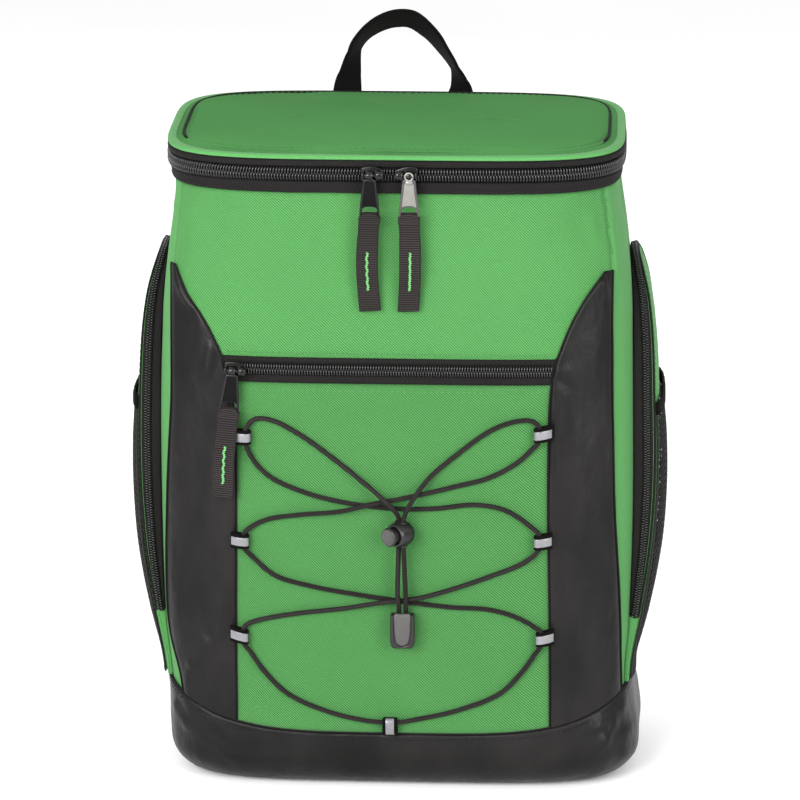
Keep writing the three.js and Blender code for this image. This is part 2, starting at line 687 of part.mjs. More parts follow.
const crown = (y, s) => {
  const half = Math.max(1, archHalf(s));
  return SIDE_CROWN * Math.max(0, 1 - (y / half) ** 2) * clamp01((ARCH_TOP - s) / 30) * clamp01((s - seamSide) / 60);
};
const panelOff = (y, s) => LAYER_GAP + swell(s) + crown(y, s);

function netOff(y, s) {
  const across = Math.max(0, 1 - (y / ARCH_HALF) ** 2) ** 0.75;
  const floor = panelOff(y, s) + SIDE_CLOTH + SEAT;
  const slack = Math.max(0.2, NET_BULGE * read(SIDE, 'net', share(s)) - floor);
  return floor + slack * across * ease((s - seamSide + 6) / 30);
}

for (const [side, name] of [[-1, 'left'], [1, 'right']]) {
  add(`side_zip_tape_${name}`, archStrip(side, [
    [-CLOTH, 0], [0, 0], [0, 0.42], [-CLOTH, 0.42],
  ]), black);
  add(`side_zip_coil_${name}`, archStrip(side, [
    [-CLOTH, 0.46], [0, 0.46], [1.6, 0.56], [1.6, 0.80], [0, 0.9], [-CLOTH, 0.9],
  ]), black);
  add(`side_panel_${name}`, sheet(6, 11, (u, v, face) => {
    const s = mix(seamSide + LAYER_GAP + 1, ARCH_TOP, v);
    const half = Math.max(4, archHalf(s));
    const y = mix(-half, half, u);
    return flank(side, y, s, panelOff(y, s) + (face === 0 ? SIDE_CLOTH : 0));
  }), green);
  add(`net_pocket_${name}`, sheet(6, 8, (u, v, face) => {
    const s = mix(seamSide + LAYER_GAP + 1, NET_TOP, v);
    const y = mix(-ARCH_HALF + 1, ARCH_HALF - 1, u);
    return flank(side, y, s, netOff(y, s) + (face === 0 ? NET_CLOTH : 0));
  }), net);
  add(`net_binding_${name}`, sheet(6, 1, (u, v, face) => {
    const s = mix(NET_TOP + SEAT, NET_TOP + SEAT + NET_BINDING, v);
    const y = mix(-ARCH_HALF + 1, ARCH_HALF - 1, u);
    return flank(side, y, s, netOff(y, NET_TOP) + (face === 0 ? NET_CLOTH + 0.6 : -0.2));
  }), black);
}

// Elastic cord: where it runs, as shares of HALF_WIDTH and BODY_HEIGHT, and how many strands
// high it lies. A row with fromLock or fromEnd keeps its height from the cord lock or the cord
// end, in shares of LOCK_DIAMETER or END_HEIGHT. A row with loop passes through a tape loop, and
// a row with lock runs through the cord lock on its left (-1) or right (1) side.
const CORD_ROUTE = [
  { x: 0.0252, fromEnd: -0.236, over: 1.45 },
  { x: 0.0252, fromEnd: 0.088, over: 1.45 },
  { x: 0.0240, fromEnd: 0.330, over: 2.0 },
  { x: 0.0200, fromLock: -2.500, over: 2.2 },
  { lock: -1 },
  { x: -0.0250, fromLock: 1.230, over: 2.2 },
  { x: -0.1250, up: 0.5320, over: 0.9 },
  { x: -0.2200, up: 0.5600, over: 0 },
  { x: -0.3800, up: 0.6060, over: 0 },
  { x: -0.5000, up: 0.6300, over: 0 },
  { x: -0.5700, up: 0.6310, over: 0.2 },
  { x: -0.6050, up: 0.6020, loop: 'down' },
  { x: -0.5700, up: 0.5600, over: 0.1 },
  { x: -0.5000, up: 0.5340, over: 0 },
  { x: -0.3500, up: 0.5090, over: 0 },
  { x: -0.2000, up: 0.4950, over: 0 },
  { x: 0.0000, up: 0.4860, over: 0 },
  { x: 0.1700, up: 0.4870, over: 0 },
  { x: 0.3400, up: 0.4940, over: 0 },
  { x: 0.4600, up: 0.4850, over: 0 },
  { x: 0.5500, up: 0.4620, over: 0.1 },
  { x: 0.5980, up: 0.4330, loop: 'down' },
  { x: 0.5400, up: 0.3980, over: 0.1 },
  { x: 0.4000, up: 0.3740, over: 0 },
  { x: 0.2500, up: 0.3540, over: 0.6 },
  { x: 0.1000, up: 0.3380, over: 1.05 },
  { x: -0.0600, up: 0.3290, over: 1.0 },
  { x: -0.2000, up: 0.3170, over: 0.2 },
  { x: -0.4000, up: 0.3060, over: 0 },
  { x: -0.5400, up: 0.2950, over: 0 },
  { x: -0.6060, up: 0.2860, over: 0.3 },
  { x: -0.6220, up: 0.2660, loop: 'down' },
  { x: -0.5980, up: 0.2400, over: 0.2 },
  { x: -0.5400, up: 0.2060, over: 0 },
  { x: -0.4400, up: 0.1670, over: 0 },
  { x: -0.2800, up: 0.1390, over: 0 },
  { x: -0.1300, up: 0.1250, over: 0.1 },
  { x: -0.0145, up: 0.1230, loop: 'across' },
  { x: 0.1000, up: 0.1280, over: 0.1 },
  { x: 0.2600, up: 0.1430, over: 0 },
  { x: 0.4400, up: 0.1730, over: 0 },
  { x: 0.5350, up: 0.2120, over: 0 },
  { x: 0.5870, up: 0.2430, over: 0.2 },
  { x: 0.6090, up: 0.2690, loop: 'up' },
  { x: 0.5800, up: 0.2890, over: 0.2 },
  { x: 0.5100, up: 0.3040, over: 0 },
  { x: 0.4000, up: 0.3170, over: 0 },
  { x: 0.2300, up: 0.3210, over: 0 },
  { x: 0.0500, up: 0.3290, over: 0 },
  { x: -0.1500, up: 0.3400, over: 0 },
  { x: -0.3400, up: 0.3530, over: 0 },
  { x: -0.4900, up: 0.3700, over: 0 },
  { x: -0.5780, up: 0.3990, over: 0.1 },
  { x: -0.6160, up: 0.4280, loop: 'up' },
  { x: -0.5900, up: 0.4500, over: 0.2 },
  { x: -0.5200, up: 0.4640, over: 0 },
  { x: -0.3800, up: 0.4740, over: 0.2 },
  { x: -0.2200, up: 0.4820, over: 0.9 },
  { x: -0.0800, up: 0.4960, over: 1.05 },
  { x: 0.0800, up: 0.5090, over: 0.9 },
  { x: 0.2500, up: 0.5240, over: 0.1 },
  { x: 0.3900, up: 0.5390, over: 0 },
  { x: 0.5050, up: 0.5640, over: 0 },
  { x: 0.5700, up: 0.5880, over: 0.1 },
  { x: 0.5950, up: 0.6120, loop: 'up' },
  { x: 0.5650, up: 0.6340, over: 0.2 },
  { x: 0.5000, up: 0.6330, over: 0 },
  { x: 0.4000, up: 0.6180, over: 0 },
  { x: 0.2500, up: 0.5740, over: 0 },
  { x: 0.1500, up: 0.5400, over: 0.7 },
  { x: 0.0850, fromLock: 1.396, over: 2.1 },
  { lock: 1 },
  { x: 0.0530, fromLock: -2.500, over: 2.2 },
  { x: 0.0535, fromEnd: 0.330, over: 2.0 },
  { x: 0.0535, fromEnd: 0.088, over: 1.45 },
  { x: 0.0535, fromEnd: -0.236, over: 1.45 },
];
const CORD_SIDES = 6;
const STRAND = CORD * 1.16;
const panelFace = LAYER_GAP + PANEL_PAD;
const cordBase = panelFace + SEAT + CORD / 2;
const cordLift = LOOP_WALL + CORD_CLEARANCE;
const lockOff = cordBase + 2.1 * STRAND;
const strandX = (STRAND_SPACING / 2) * Math.cos(radians(LOCK_TURN));
const strandOff = (STRAND_SPACING / 2) * Math.sin(radians(LOCK_TURN));

function cordHeight({ up, fromLock, fromEnd }) {
  if (fromLock !== undefined) return LOCK_HEIGHT_AT + fromLock * LOCK_DIAMETER;
  if (fromEnd !== undefined) return END_TOP_AT + fromEnd * END_HEIGHT;
  return up * BODY_HEIGHT;
}

// The points of a row: one, or three in a straight run through a loop or the lock
function cordPoints(row) {
  const { x, over, loop, lock } = row;
  if (lock) {
    return [1, 0, -1].map((k) => front(
      LOCK_X + lock * strandX, LOCK_HEIGHT_AT + lock * k * LOCK_DIAMETER * 0.62, lockOff + lock * strandOff,
    ));
  }
  const px = x * HALF_WIDTH;
  const s = cordHeight(row);
  if (!loop) return [front(px, s, cordBase + over * STRAND)];
  const [, y, z] = front(px, s, cordBase + cordLift);
  const half = LOOP_HEIGHT / 2;
  if (loop === 'across') return [[px - half, y, z], [px, y, z], [px + half, y, z]];
  const first = loop === 'down' ? half : -half;
  return [[px, y, z + first], [px, y, z], [px, y, z - first]];
}

const route = CORD_ROUTE.flatMap(cordPoints).map((p) => new THREE.Vector3(...p));
const line = new THREE.CatmullRomCurve3(route, false, 'centripetal');
const hexagon = Array.from({ length: CORD_SIDES }, (_, k) => {
  const turn = (k / CORD_SIDES) * 2 * Math.PI;
  return [Math.cos(turn) * CORD / 2, Math.sin(turn) * CORD / 2];
});
// The cord turns in the plane of the front, so its section stands on the front's own direction
function tube(curve, steps, outline) {
  const rows = [];
  for (let i = 0; i <= steps; i += 1) {
    const at = curve.getPoint(i / steps);
    const along = curve.getTangent(i / steps);
    const across = new THREE.Vector3(-along.z, 0, along.x).normalize();
    const out = new THREE.Vector3().crossVectors(along, across).normalize();
    rows.push(outline.map(([u, v]) => {
      const p = at.clone().addScaledVector(across, u).addScaledVector(out, v);
      return [p.x, p.y, p.z];
    }));
  }
  return sweep(rows);
}
add('elastic_cord', tube(line, Math.round((route.length - 1) * 1.5), hexagon), black);

// Cord loops: a folded tape sewn in beside the cord, its hole along the cord
function cordLoop(reach) {
  const outer = CORD / 2 + cordLift;
  const shape = new THREE.Shape();
  const foot = outer * 0.72;
  shape.moveTo(reach, -outer);
  shape.lineTo(reach, -outer + foot);
  shape.lineTo(0, outer);
  shape.absarc(0, 0, outer, Math.PI / 2, (3 * Math.PI) / 2, false);
  shape.lineTo(reach, -outer);
  const hole = new THREE.Path();
  hole.absarc(0, 0, CORD / 2 + CORD_CLEARANCE, 0, 2 * Math.PI, true);
  shape.holes.push(hole);
  return new THREE.ExtrudeGeometry(shape, {
    depth: LOOP_HEIGHT, bevelEnabled: false, curveSegments: 6,
  }).translate(0, 0, -LOOP_HEIGHT / 2);
}
const LOOP_NAMES = [
  'cord_loop_left_top', 'cord_loop_right_mid', 'cord_loop_left_low', 'cord_loop_bottom',
  'cord_loop_right_low', 'cord_loop_left_mid', 'cord_loop_right_top',
];
CORD_ROUTE.filter(({ loop }) => loop).forEach((row, k) => {
  const [x, y, z] = cordPoints(row)[1];
  const mesh = add(LOOP_NAMES[k], cordLoop(LOOP_REACH), black);
  if (row.loop === 'across') {
    mesh.setRotationFromMatrix(new THREE.Matrix4().makeBasis(
      new THREE.Vector3(0, 0, -1), new THREE.Vector3(0, -1, 0), new THREE.Vector3(-1, 0, 0),
    ));
  }
  if (row.loop !== 'across') mesh.rotation.set(x < 0 ? 0 : Math.PI, 0, x < 0 ? Math.PI : 0);
  mesh.position.set(x, y, z);
});

// Cord lock: a barrel across the two strands, with a sprung button
const lockAt = front(LOCK_X, LOCK_HEIGHT_AT, lockOff);
const lockGroup = new THREE.Group();
lockGroup.position.set(...lockAt);
lockGroup.rotation.z = radians(-LOCK_TURN);
bag.add(lockGroup);
const bore = PLUNGER_DIAMETER / 2 + PLUNGER_CLEARANCE;
const slotWide = STRAND_SPACING + CORD + 2 * CORD_CLEARANCE;
const slotDeep = CORD + 2 * CORD_CLEARANCE;
const barrelProfile = [
  [0, LOCK_LENGTH / 2], [LOCK_DIAMETER * 0.36, LOCK_LENGTH / 2], [LOCK_DIAMETER * 0.47, LOCK_LENGTH * 0.32],
  [LOCK_DIAMETER / 2, LOCK_LENGTH * 0.1], [LOCK_DIAMETER * 0.5, -LOCK_LENGTH * 0.15],
  [LOCK_DIAMETER * 0.46, -LOCK_LENGTH * 0.38], [LOCK_DIAMETER * 0.41, -LOCK_LENGTH / 2], [0, -LOCK_LENGTH / 2],
].map(([r, y]) => new THREE.Vector2(r, y));
const boreDepth = LOCK_LENGTH - 2.2;
const barrel = cut(
  new THREE.LatheGeometry(barrelProfile.reverse(), 18),
  new THREE.CylinderGeometry(bore, bore, boreDepth, 14).translate(0, -LOCK_LENGTH / 2 + boreDepth / 2 - 0.01, 0),
  block(slotWide, slotDeep, 2 * LOCK_DIAMETER),
);
add('cord_lock_barrel', barrel, hard, lockGroup);
const headAt = -LOCK_LENGTH / 2 - BUTTON_TRAVEL - PLUNGER_CLEARANCE;
const plungerBack = LOCK_LENGTH / 2 - 2.2 - BUTTON_TRAVEL - PLUNGER_CLEARANCE;
const button = cut(
  join(
    new THREE.CylinderGeometry(PLUNGER_DIAMETER / 2, PLUNGER_DIAMETER / 2, plungerBack - headAt + 0.5, 14)
      .translate(0, (plungerBack + headAt - 0.5) / 2, 0),
    new THREE.CylinderGeometry(BUTTON_DIAMETER / 2, BUTTON_DIAMETER / 2 - 0.8, BUTTON_HEAD, 18)
      .translate(0, headAt - BUTTON_HEAD / 2, 0),
  ),
  block(slotWide, slotDeep + BUTTON_TRAVEL, 2 * LOCK_DIAMETER, 0, -BUTTON_TRAVEL / 2, 0),
);
add('cord_lock_button', button, steel, lockGroup);

// Cord end, a moulded grip that both ends of the cord go into
const endRow = CORD_ROUTE[0];
const endLast = CORD_ROUTE[CORD_ROUTE.length - 1];
const [[, endY]] = cordPoints(endRow);
const endX = ((endRow.x + endLast.x) / 2) * HALF_WIDTH;
const socket = END_TOP_AT - cordHeight(endRow);
const grip = slab([
  [-END_TOP_WIDTH / 2, 0], [END_TOP_WIDTH / 2, 0], [END_WIDTH / 2, -END_HEIGHT * 0.4],
  [END_WIDTH / 2, -END_HEIGHT * 0.9], [END_WIDTH * 0.4, -END_HEIGHT], [-END_WIDTH * 0.4, -END_HEIGHT],
  [-END_WIDTH / 2, -END_HEIGHT * 0.9], [-END_WIDTH / 2, -END_HEIGHT * 0.4],
], END_THICK);
add('cord_end', cut(grip, block(
  STRAND_SPACING + CORD + 2 * CORD_CLEARANCE, CORD + 2 * CORD_CLEARANCE, 2 * (socket + SEAT),
)), hard).position.set(endX, endY, END_TOP_AT);

// Haul loop: shares of HANDLE_SPAN / 2 and of the rise from foot to top, and turn of the webbing
const HANDLE = [
  { x: -1.00, up: 0.00, turn: 0 },
  { x: -1.00, up: 0.20, turn: 0 },
  { x: -1.02, up: 0.38, turn: 0 },
  { x: -0.98, up: 0.55, turn: 0 },
  { x: -0.84, up: 0.72, turn: 26 },
  { x: -0.60, up: 0.88, turn: 52 },
  { x: -0.28, up: 0.98, turn: 62 },
  { x: 0.02, up: 1.00, turn: 62 },
  { x: 0.32, up: 0.95, turn: 56 },
  { x: 0.60, up: 0.81, turn: 42 },
  { x: 0.84, up: 0.64, turn: 16 },
  { x: 0.96, up: 0.50, turn: 0 },
  { x: 0.96, up: 0.36, turn: 0 },
  { x: 0.94, up: 0.20, turn: 0 },
  { x: 0.94, up: 0.00, turn: 0 },
];
const backFace = BAND_PROUD + 0.3 + LAYER_GAP + WEBBING_THICK / 2;
const handlePoints = HANDLE.map(({ x, up }) => {
  const px = (x * HANDLE_SPAN) / 2;
  const s = mix(HANDLE_FOOT, HANDLE_TOP, up);
  const sewn = back(px, s, WEBBING_THICK / 2 + SEAT)[1];
  return new THREE.Vector3(px + HANDLE_SHIFT, up < 0.1 ? sewn : back(px, LID_LOW, backFace)[1], s);
});
const handleLine = new THREE.CatmullRomCurve3(handlePoints, false, 'centripetal');
const handleRows = [];
const HANDLE_STEPS = 24;
for (let i = 0; i <= HANDLE_STEPS; i += 1) {
  const t = i / HANDLE_STEPS;
  const at = handleLine.getPoint(t);
  const along = handleLine.getTangent(t);
  const k = t * (HANDLE.length - 1);
  const low = Math.min(HANDLE.length - 2, Math.floor(k));
  const turn = radians(mix(HANDLE[low].turn, HANDLE[low + 1].turn, k - low));
  const outward = new THREE.Vector3(-along.z, 0, along.x).normalize();
  const wide = outward.multiplyScalar(Math.cos(turn)).add(new THREE.Vector3(0, -Math.sin(turn), 0));
  wide.addScaledVector(along, -wide.dot(along)).normalize();
  const thin = new THREE.Vector3().crossVectors(along, wide).normalize();
  handleRows.push([[1, 1], [1, -1], [-1, -1], [-1, 1]].map(([u, v]) => {
    const p = at.clone().addScaledVector(wide, (u * WEBBING) / 2).addScaledVector(thin, (v * WEBBING_THICK) / 2);
    return [p.x, p.y, p.z];
  }));
}
add('haul_loop', sweep(handleRows), black);

// Back panel and shoulder straps
add('back_panel', sheet(8, 12, (u, v, face) => {
  const s = mix(BACK_LOW, BACK_HIGH, v);
  const x = mix(-BACK_HALF, BACK_HALF, u);
  const edge = Math.min(1, 8 * Math.min(u, 1 - u, v, 1 - v));
  return back(x, s, face === 0 ? EDGE_GAP + BACK_PAD * (0.45 + 0.55 * edge) : EDGE_GAP);
}), charcoal);

// Strap course: shares of BACK_HALF, of the body's height and of STRAP_STANDOFF, and how full
// the padding is
const STRAP = [
  { x: 0.48, up: 0.895, away: 0.00, pad: 0.45 },
  { x: 0.49, up: 0.868, away: 0.10, pad: 0.75 },
  { x: 0.52, up: 0.820, away: 0.52, pad: 1 },
  { x: 0.58, up: 0.740, away: 0.90, pad: 1 },
  { x: 0.65, up: 0.640, away: 1.00, pad: 1 },
  { x: 0.72, up: 0.540, away: 0.92, pad: 1 },
  { x: 0.78, up: 0.450, away: 0.78, pad: 0.6 },
];
const LOWER = [
  { x: 0.79, up: 0.432, away: 0.78, pad: 1 },
  { x: 0.86, up: 0.330, away: 0.58, pad: 1 },
  { x: 0.95, up: 0.220, away: 0.30, pad: 1 },
  { x: 1.00, up: 0.160, away: 0.08, pad: 1 },
  { x: 1.02, up: 0.122, away: 0.00, pad: 1 },
];
const padFace = EDGE_GAP + BACK_PAD + SEAT;

function strapPoints(side, table, ground) {
  return table.map(({ x, up, away }) => {
    const px = side * x * BACK_HALF;
    return new THREE.Vector3(...back(px, up * BODY_HEIGHT, ground + away * STRAP_STANDOFF));
  });
}

function strapSolid(points, table, wide, thick, steps, round) {
  const curve = new THREE.CatmullRomCurve3(points, false, 'centripetal');
  const rows = [];
  for (let i = 0; i <= steps; i += 1) {
    const t = i / steps;
    const k = t * (table.length - 1);
    const low = Math.min(table.length - 2, Math.floor(k));
    const full = thick * mix(table[low].pad, table[low + 1].pad, k - low);
    const at = curve.getPoint(t);
    const along = curve.getTangent(t);
    const across = new THREE.Vector3(1, 0, 0).addScaledVector(along, -along.x).normalize();
    const out = new THREE.Vector3().crossVectors(across, along).normalize();
    const edge = full * round;
    rows.push([
      [-1, -edge], [-0.86, -full], [0.86, -full], [1, -edge], [1, edge], [0.86, full], [-0.86, full], [-1, edge],
    ].map(([u, v]) => {
      const p = at.clone().addScaledVector(across, (u * wide) / 2).addScaledVector(out, v / 2);
      return [p.x, p.y, p.z];
    }));
  }
  return { solid: sweep(rows), curve };
}

// Ladder lock: a frame with three bars, its length along the strap
function ladder() {
  const slot = (BUCKLE_HEIGHT - 3 * BUCKLE_BAR) / 2;
  const step = (slot + BUCKLE_BAR) / 2;
  return cut(
    block(BUCKLE_WIDTH, BUCKLE_THICK, BUCKLE_HEIGHT),
    block(STRAP_WEBBING + 1, 2 * BUCKLE_THICK, slot, 0, 0, step),
    block(STRAP_WEBBING + 1, 2 * BUCKLE_THICK, slot, 0, 0, -step),
  );
}

for (const [side, name] of [[-1, 'left'], [1, 'right']]) {
  const upper = strapPoints(side, STRAP, padFace + (STRAP_PAD * STRAP[0].pad) / 2 + SEAT);
  const pad = strapSolid(upper, STRAP, STRAP_WIDTH, STRAP_PAD, 12, 0.4);
  add(`shoulder_strap_${name}`, pad.solid, charcoal);
  const end = upper[upper.length - 1];
  const down = pad.curve.getTangent(1);
  const buckle = add(`strap_buckle_${name}`, ladder(), hard);
  buckle.position.copy(end).addScaledVector(down, BUCKLE_HEIGHT / 2 + SEAT);
  const across = new THREE.Vector3(1, 0, 0).addScaledVector(down, -down.x).normalize();
  const out = new THREE.Vector3().crossVectors(across, down).normalize();
  buckle.setRotationFromMatrix(new THREE.Matrix4().makeBasis(across, out, down.clone().negate()));
  const lower = strapPoints(side, LOWER, BOOT_OUT + LAYER_GAP + WEBBING_THICK / 2);
  const start = buckle.position.clone().addScaledVector(out, -(BUCKLE_THICK + WEBBING_THICK) / 2 - SEAT);
  const webbing = [start, start.clone().addScaledVector(down, BUCKLE_HEIGHT * 0.6), ...lower.slice(1)];
  add(`strap_webbing_${name}`, strapSolid(webbing, LOWER.concat(LOWER[0]), STRAP_WEBBING, WEBBING_THICK, 10, 0.8).solid, black);
}

export default bag;
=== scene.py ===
"""Looks of the insulated cooler backpack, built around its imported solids.

Lengths and points of the bag are in millimetres, in the row frame, and are scaled once, where a
mesh is made. The camera's distance, the lights and the floor are in metres.
"""

import math

import bmesh
import bpy
import numpy as np
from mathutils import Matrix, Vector, noise


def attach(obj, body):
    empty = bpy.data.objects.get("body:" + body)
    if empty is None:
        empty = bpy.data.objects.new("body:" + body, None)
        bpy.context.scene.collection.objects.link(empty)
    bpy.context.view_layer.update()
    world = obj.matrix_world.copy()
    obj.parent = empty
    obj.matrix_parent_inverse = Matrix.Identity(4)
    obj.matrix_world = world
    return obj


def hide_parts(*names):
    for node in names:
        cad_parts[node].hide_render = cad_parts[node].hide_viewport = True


MM = 0.001
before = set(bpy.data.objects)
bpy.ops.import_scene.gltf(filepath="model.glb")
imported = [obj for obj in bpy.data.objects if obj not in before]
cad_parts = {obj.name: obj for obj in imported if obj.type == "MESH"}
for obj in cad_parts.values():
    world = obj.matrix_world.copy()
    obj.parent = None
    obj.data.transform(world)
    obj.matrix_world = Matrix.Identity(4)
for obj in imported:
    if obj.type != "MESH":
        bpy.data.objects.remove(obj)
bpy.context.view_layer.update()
scene = bpy.context.scene
scene.view_settings.view_transform = "Standard"

# camera
TARGET = Vector((-0.62, 0.0, 245.44)) * MM
AZIMUTH, ELEVATION = math.radians(3), math.radians(14.5)
CAMERA_DISTANCE = 3.0
FOCAL_PIXELS = 4477
PHOTO_PIXELS = 800
SENSOR_WIDTH = 36
towards_camera = Vector((
    math.sin(AZIMUTH) * math.cos(ELEVATION),
    -math.cos(AZIMUTH) * math.cos(ELEVATION),
    math.sin(ELEVATION),
))
camera_data = bpy.data.cameras.new("camera")
camera_data.sensor_width = SENSOR_WIDTH
camera_data.lens = FOCAL_PIXELS / PHOTO_PIXELS * camera_data.sensor_width
camera_data.clip_start, camera_data.clip_end = 0.05, 60
camera = bpy.data.objects.new("camera", camera_data)
scene.collection.objects.link(camera)
camera.location = TARGET + towards_camera * CAMERA_DISTANCE
camera.rotation_mode = "QUATERNION"
camera.rotation_quaternion = (-towards_camera).to_track_quat("-Z", "Y")
scene.camera = camera

# sizes, as in the solids
BODY_WIDTH, BODY_DEPTH, BODY_HEIGHT = 318, 180, 405
CORNER_POWER = 4.5
BOTTOM_ROUND = 22
WALL = 5
CLOTH = 1.3
PANEL_PAD = 2.6
LAYER_GAP = 0.6
EDGE_GAP = 0.8
SEAT = 0.3
BOOT_OUT = 2.0
SEAM_FRONT, SEAM_CORNER_RISE = 40, 28
LID_RISE = 9
PANEL_HALF = 103.5
COIL = 9.6
BAND_PROUD, COIL_PROUD = 2.2, 3.4
PIPING_INSET = 7
POCKET_ZIP_TOP, POCKET_TAPE = 296.5, 17
POCKET_COIL, POCKET_COIL_PROUD = 8.4, 2.4
HALF_WIDTH, HALF_DEPTH = BODY_WIDTH / 2, BODY_DEPTH / 2
ROUND_CENTRE = BOTTOM_ROUND + BOOT_OUT
BAND_LOW = BODY_HEIGHT
COIL_LOW = BAND_LOW + 8
TAPE_HIGH = COIL_LOW + COIL
LID_LOW = TAPE_HIGH + 4.4
ARCH_HALF, ARCH_TOP, ARCH_SPRING, ARCH_POWER = 52, 351, 225, 2.2
SIDE_ZIP_END = 112
SIDE_BULGE, SIDE_CROWN, SIDE_CLOTH = 11.5, 1.2, 1.4
NET_TOP, NET_BULGE, NET_BINDING = 250, 18.8, 9
SEAM_SIDE = SEAM_FRONT + SEAM_CORNER_RISE
PLAN_STEPS, PART_STEPS = 20001, 8001
RIGHT, REAR = [1.0, 0, 0], [0, 1.0, 0]

# up, left, right, deep
SKIN = [
    (0.00, 0.950, 1.005, 0.965), (0.08, 0.955, 1.010, 0.975), (0.165, 0.965, 0.975, 0.970),
    (0.27, 0.990, 0.990, 0.988), (0.48, 1.000, 1.000, 1.000), (0.64, 0.996, 0.992, 1.000),
    (0.80, 0.975, 0.970, 0.994), (0.88, 0.953, 0.948, 0.985), (0.96, 0.928, 0.918, 0.966),
    (1.00, 0.922, 0.908, 0.964), (1.06, 0.938, 0.918, 0.985), (1.12, 0.938, 0.918, 0.985),
]
# up, inner edge left and right as shares of PANEL_HALF, corner seam left and right
WING = [
    (0.10, 1.010, 0.998, 0.925, 0.968), (0.16, 1.010, 0.996, 0.935, 0.965),
    (0.23, 1.009, 0.993, 0.960, 0.950), (0.32, 1.006, 0.988, 0.965, 0.935),
    (0.48, 1.000, 0.975, 0.950, 0.905), (0.63, 1.005, 0.976, 0.930, 0.900),
    (0.68, 1.030, 0.986, 0.930, 0.902), (0.72, 1.070, 1.010, 0.934, 0.905),
    (0.75, 1.120, 1.050, 0.938, 0.908), (0.79, 1.205, 1.115, 0.944, 0.912),
    (0.83, 1.320, 1.205, 0.952, 0.920), (0.87, 1.400, 1.325, 0.966, 0.932),
]
# up, swell of the side pocket, swell of the net
SIDE = [
    (0.160, 0.10, 0.14), (0.200, 0.12, 0.20), (0.240, 0.20, 0.38), (0.280, 0.36, 0.56),
    (0.340, 0.60, 0.78), (0.400, 0.80, 0.93), (0.480, 0.95, 1.00), (0.555, 1.00, 0.98),
    (0.620, 1.00, 0.90), (0.740, 0.96, 0.90), (0.800, 0.82, 0.90), (0.840, 0.58, 0.90),
    (0.870, 0.34, 0.90),
]
# across, up, deep, half width, half height
DENTS = [(-0.73, 0.950, 3.5, 0.12, 0.035), (0.79, 0.950, 3.5, 0.12, 0.035)]


def read(table, column, up):
    """Smooth reading of one column of a table at shares of the height."""
    k = np.array([row[0] for row in table])
    v = np.array([row[column] for row in table])
    up = np.clip(np.asarray(up, float), k[0], k[-1])
    i = np.clip(np.searchsorted(k, up, side="right") - 1, 0, len(k) - 2)
    before, after = np.maximum(i - 1, 0), np.minimum(i + 2, len(k) - 1)
    span = k[i + 1] - k[i]
    slope_p = (v[i + 1] - v[before]) / (k[i + 1] - k[before])
    slope_q = (v[after] - v[i]) / (k[after] - k[i])
    t = (up - k[i]) / span
    return (
        v[i] * (1 + 2 * t) * (1 - t) ** 2 + slope_p * span * t * (1 - t) ** 2
        + v[i + 1] * t * t * (3 - 2 * t) - slope_q * span * t * t * (1 - t)
    )


def ease(t):
    """Smooth step from 0 to 1."""
    t = np.clip(t, 0, 1)
    return t * t * (3 - 2 * t)


def mix(a, b, t):
    return a + (b - a) * t


def half_width(s, right):
    """Half the width of the body at heights s, right or left of its middle."""
    up = np.asarray(s, float) / BODY_HEIGHT
    return HALF_WIDTH * np.where(right, read(SKIN, 2, up), read(SKIN, 1, up))


def half_depth(s):
    return HALF_DEPTH * read(SKIN, 3, np.asarray(s, float) / BODY_HEIGHT)


def lift(y, s):
    """The lid leans: it is higher towards the back."""
    return LID_RISE * ((y + HALF_DEPTH) / BODY_DEPTH) * ease((s / BODY_HEIGHT - 0.72) / 0.27)


def dent(x, y, s):
    """How deep the dents of the front are."""
    total = 0
    for across, up, deep, wide, high in DENTS:
        u = (x / HALF_WIDTH - across) / wide
        v = (s / BODY_HEIGHT - up) / high
        total = total + deep * np.exp(-u * u - v * v)
    return np.where(np.asarray(y) > 0, 0, total)


def stack(x, y, z):
    return np.stack(np.broadcast_arrays(x, y, z), -1).astype(float)


def run_along(line):
    """Length of the way along a line, at each of its points."""
    steps = np.linalg.norm(np.diff(line, axis=0), axis=1)
    return np.concatenate([[0], np.cumsum(steps)])


def full_turn(count):
    return np.arange(count) / count * 2 * np.pi


def same(direction, count):
    return np.tile(direction, (count, 1))


def on_plan(turn, share):
    """Points of the unit plan of the body, at shares of the way along some directions."""
    c, s = np.cos(turn), np.sin(turn)
    r = (np.abs(c) ** CORNER_POWER + np.abs(s) ** CORNER_POWER) ** (-1 / CORNER_POWER)
    cx, sy = r * c, r * s
    run = run_along(np.column_stack([cx * HALF_WIDTH, sy * HALF_DEPTH]))
    return np.interp(share * run[-1], run, cx), np.interp(share * run[-1], run, sy)


def plan(count):
    """Points round the whole plan, evenly spaced, from the middle of the back."""
    turn = np.linspace(0, 2 * np.pi, PLAN_STEPS) + np.pi / 2
    return on_plan(turn, np.arange(count) / count)


def plan_part(first, last, count):
    """Evenly spaced points of the plan between two directions, in degrees."""
    turn = np.radians(np.linspace(first, last, PART_STEPS))
    return on_plan(turn, np.linspace(0, 1, count))


def skin(cx, sy, s, off):
    """Points off from the body, at places of the unit plan and heights s."""
    s = np.asarray(s, float)
    a, b = half_width(s, cx > 0), half_depth(s)
    out = off - dent(cx * a, sy * b, s)
    y = (b + out) * sy
    return stack((a + out) * cx, y, s + lift(y, s))


def arch(q):
    return np.maximum(0, 1 - np.abs(q) ** CORNER_POWER) ** (1 / CORNER_POWER)


def front(x, s, off):
    """Points off from the front of the body, at x and heights s."""
    x, s = np.asarray(x, float), np.asarray(s, float)
    out = off - dent(x, -1, s)
    y = -(half_depth(s) + out) * arch(x / (half_width(s, x > 0) + out))
    return stack(x, y, s + lift(y, s))


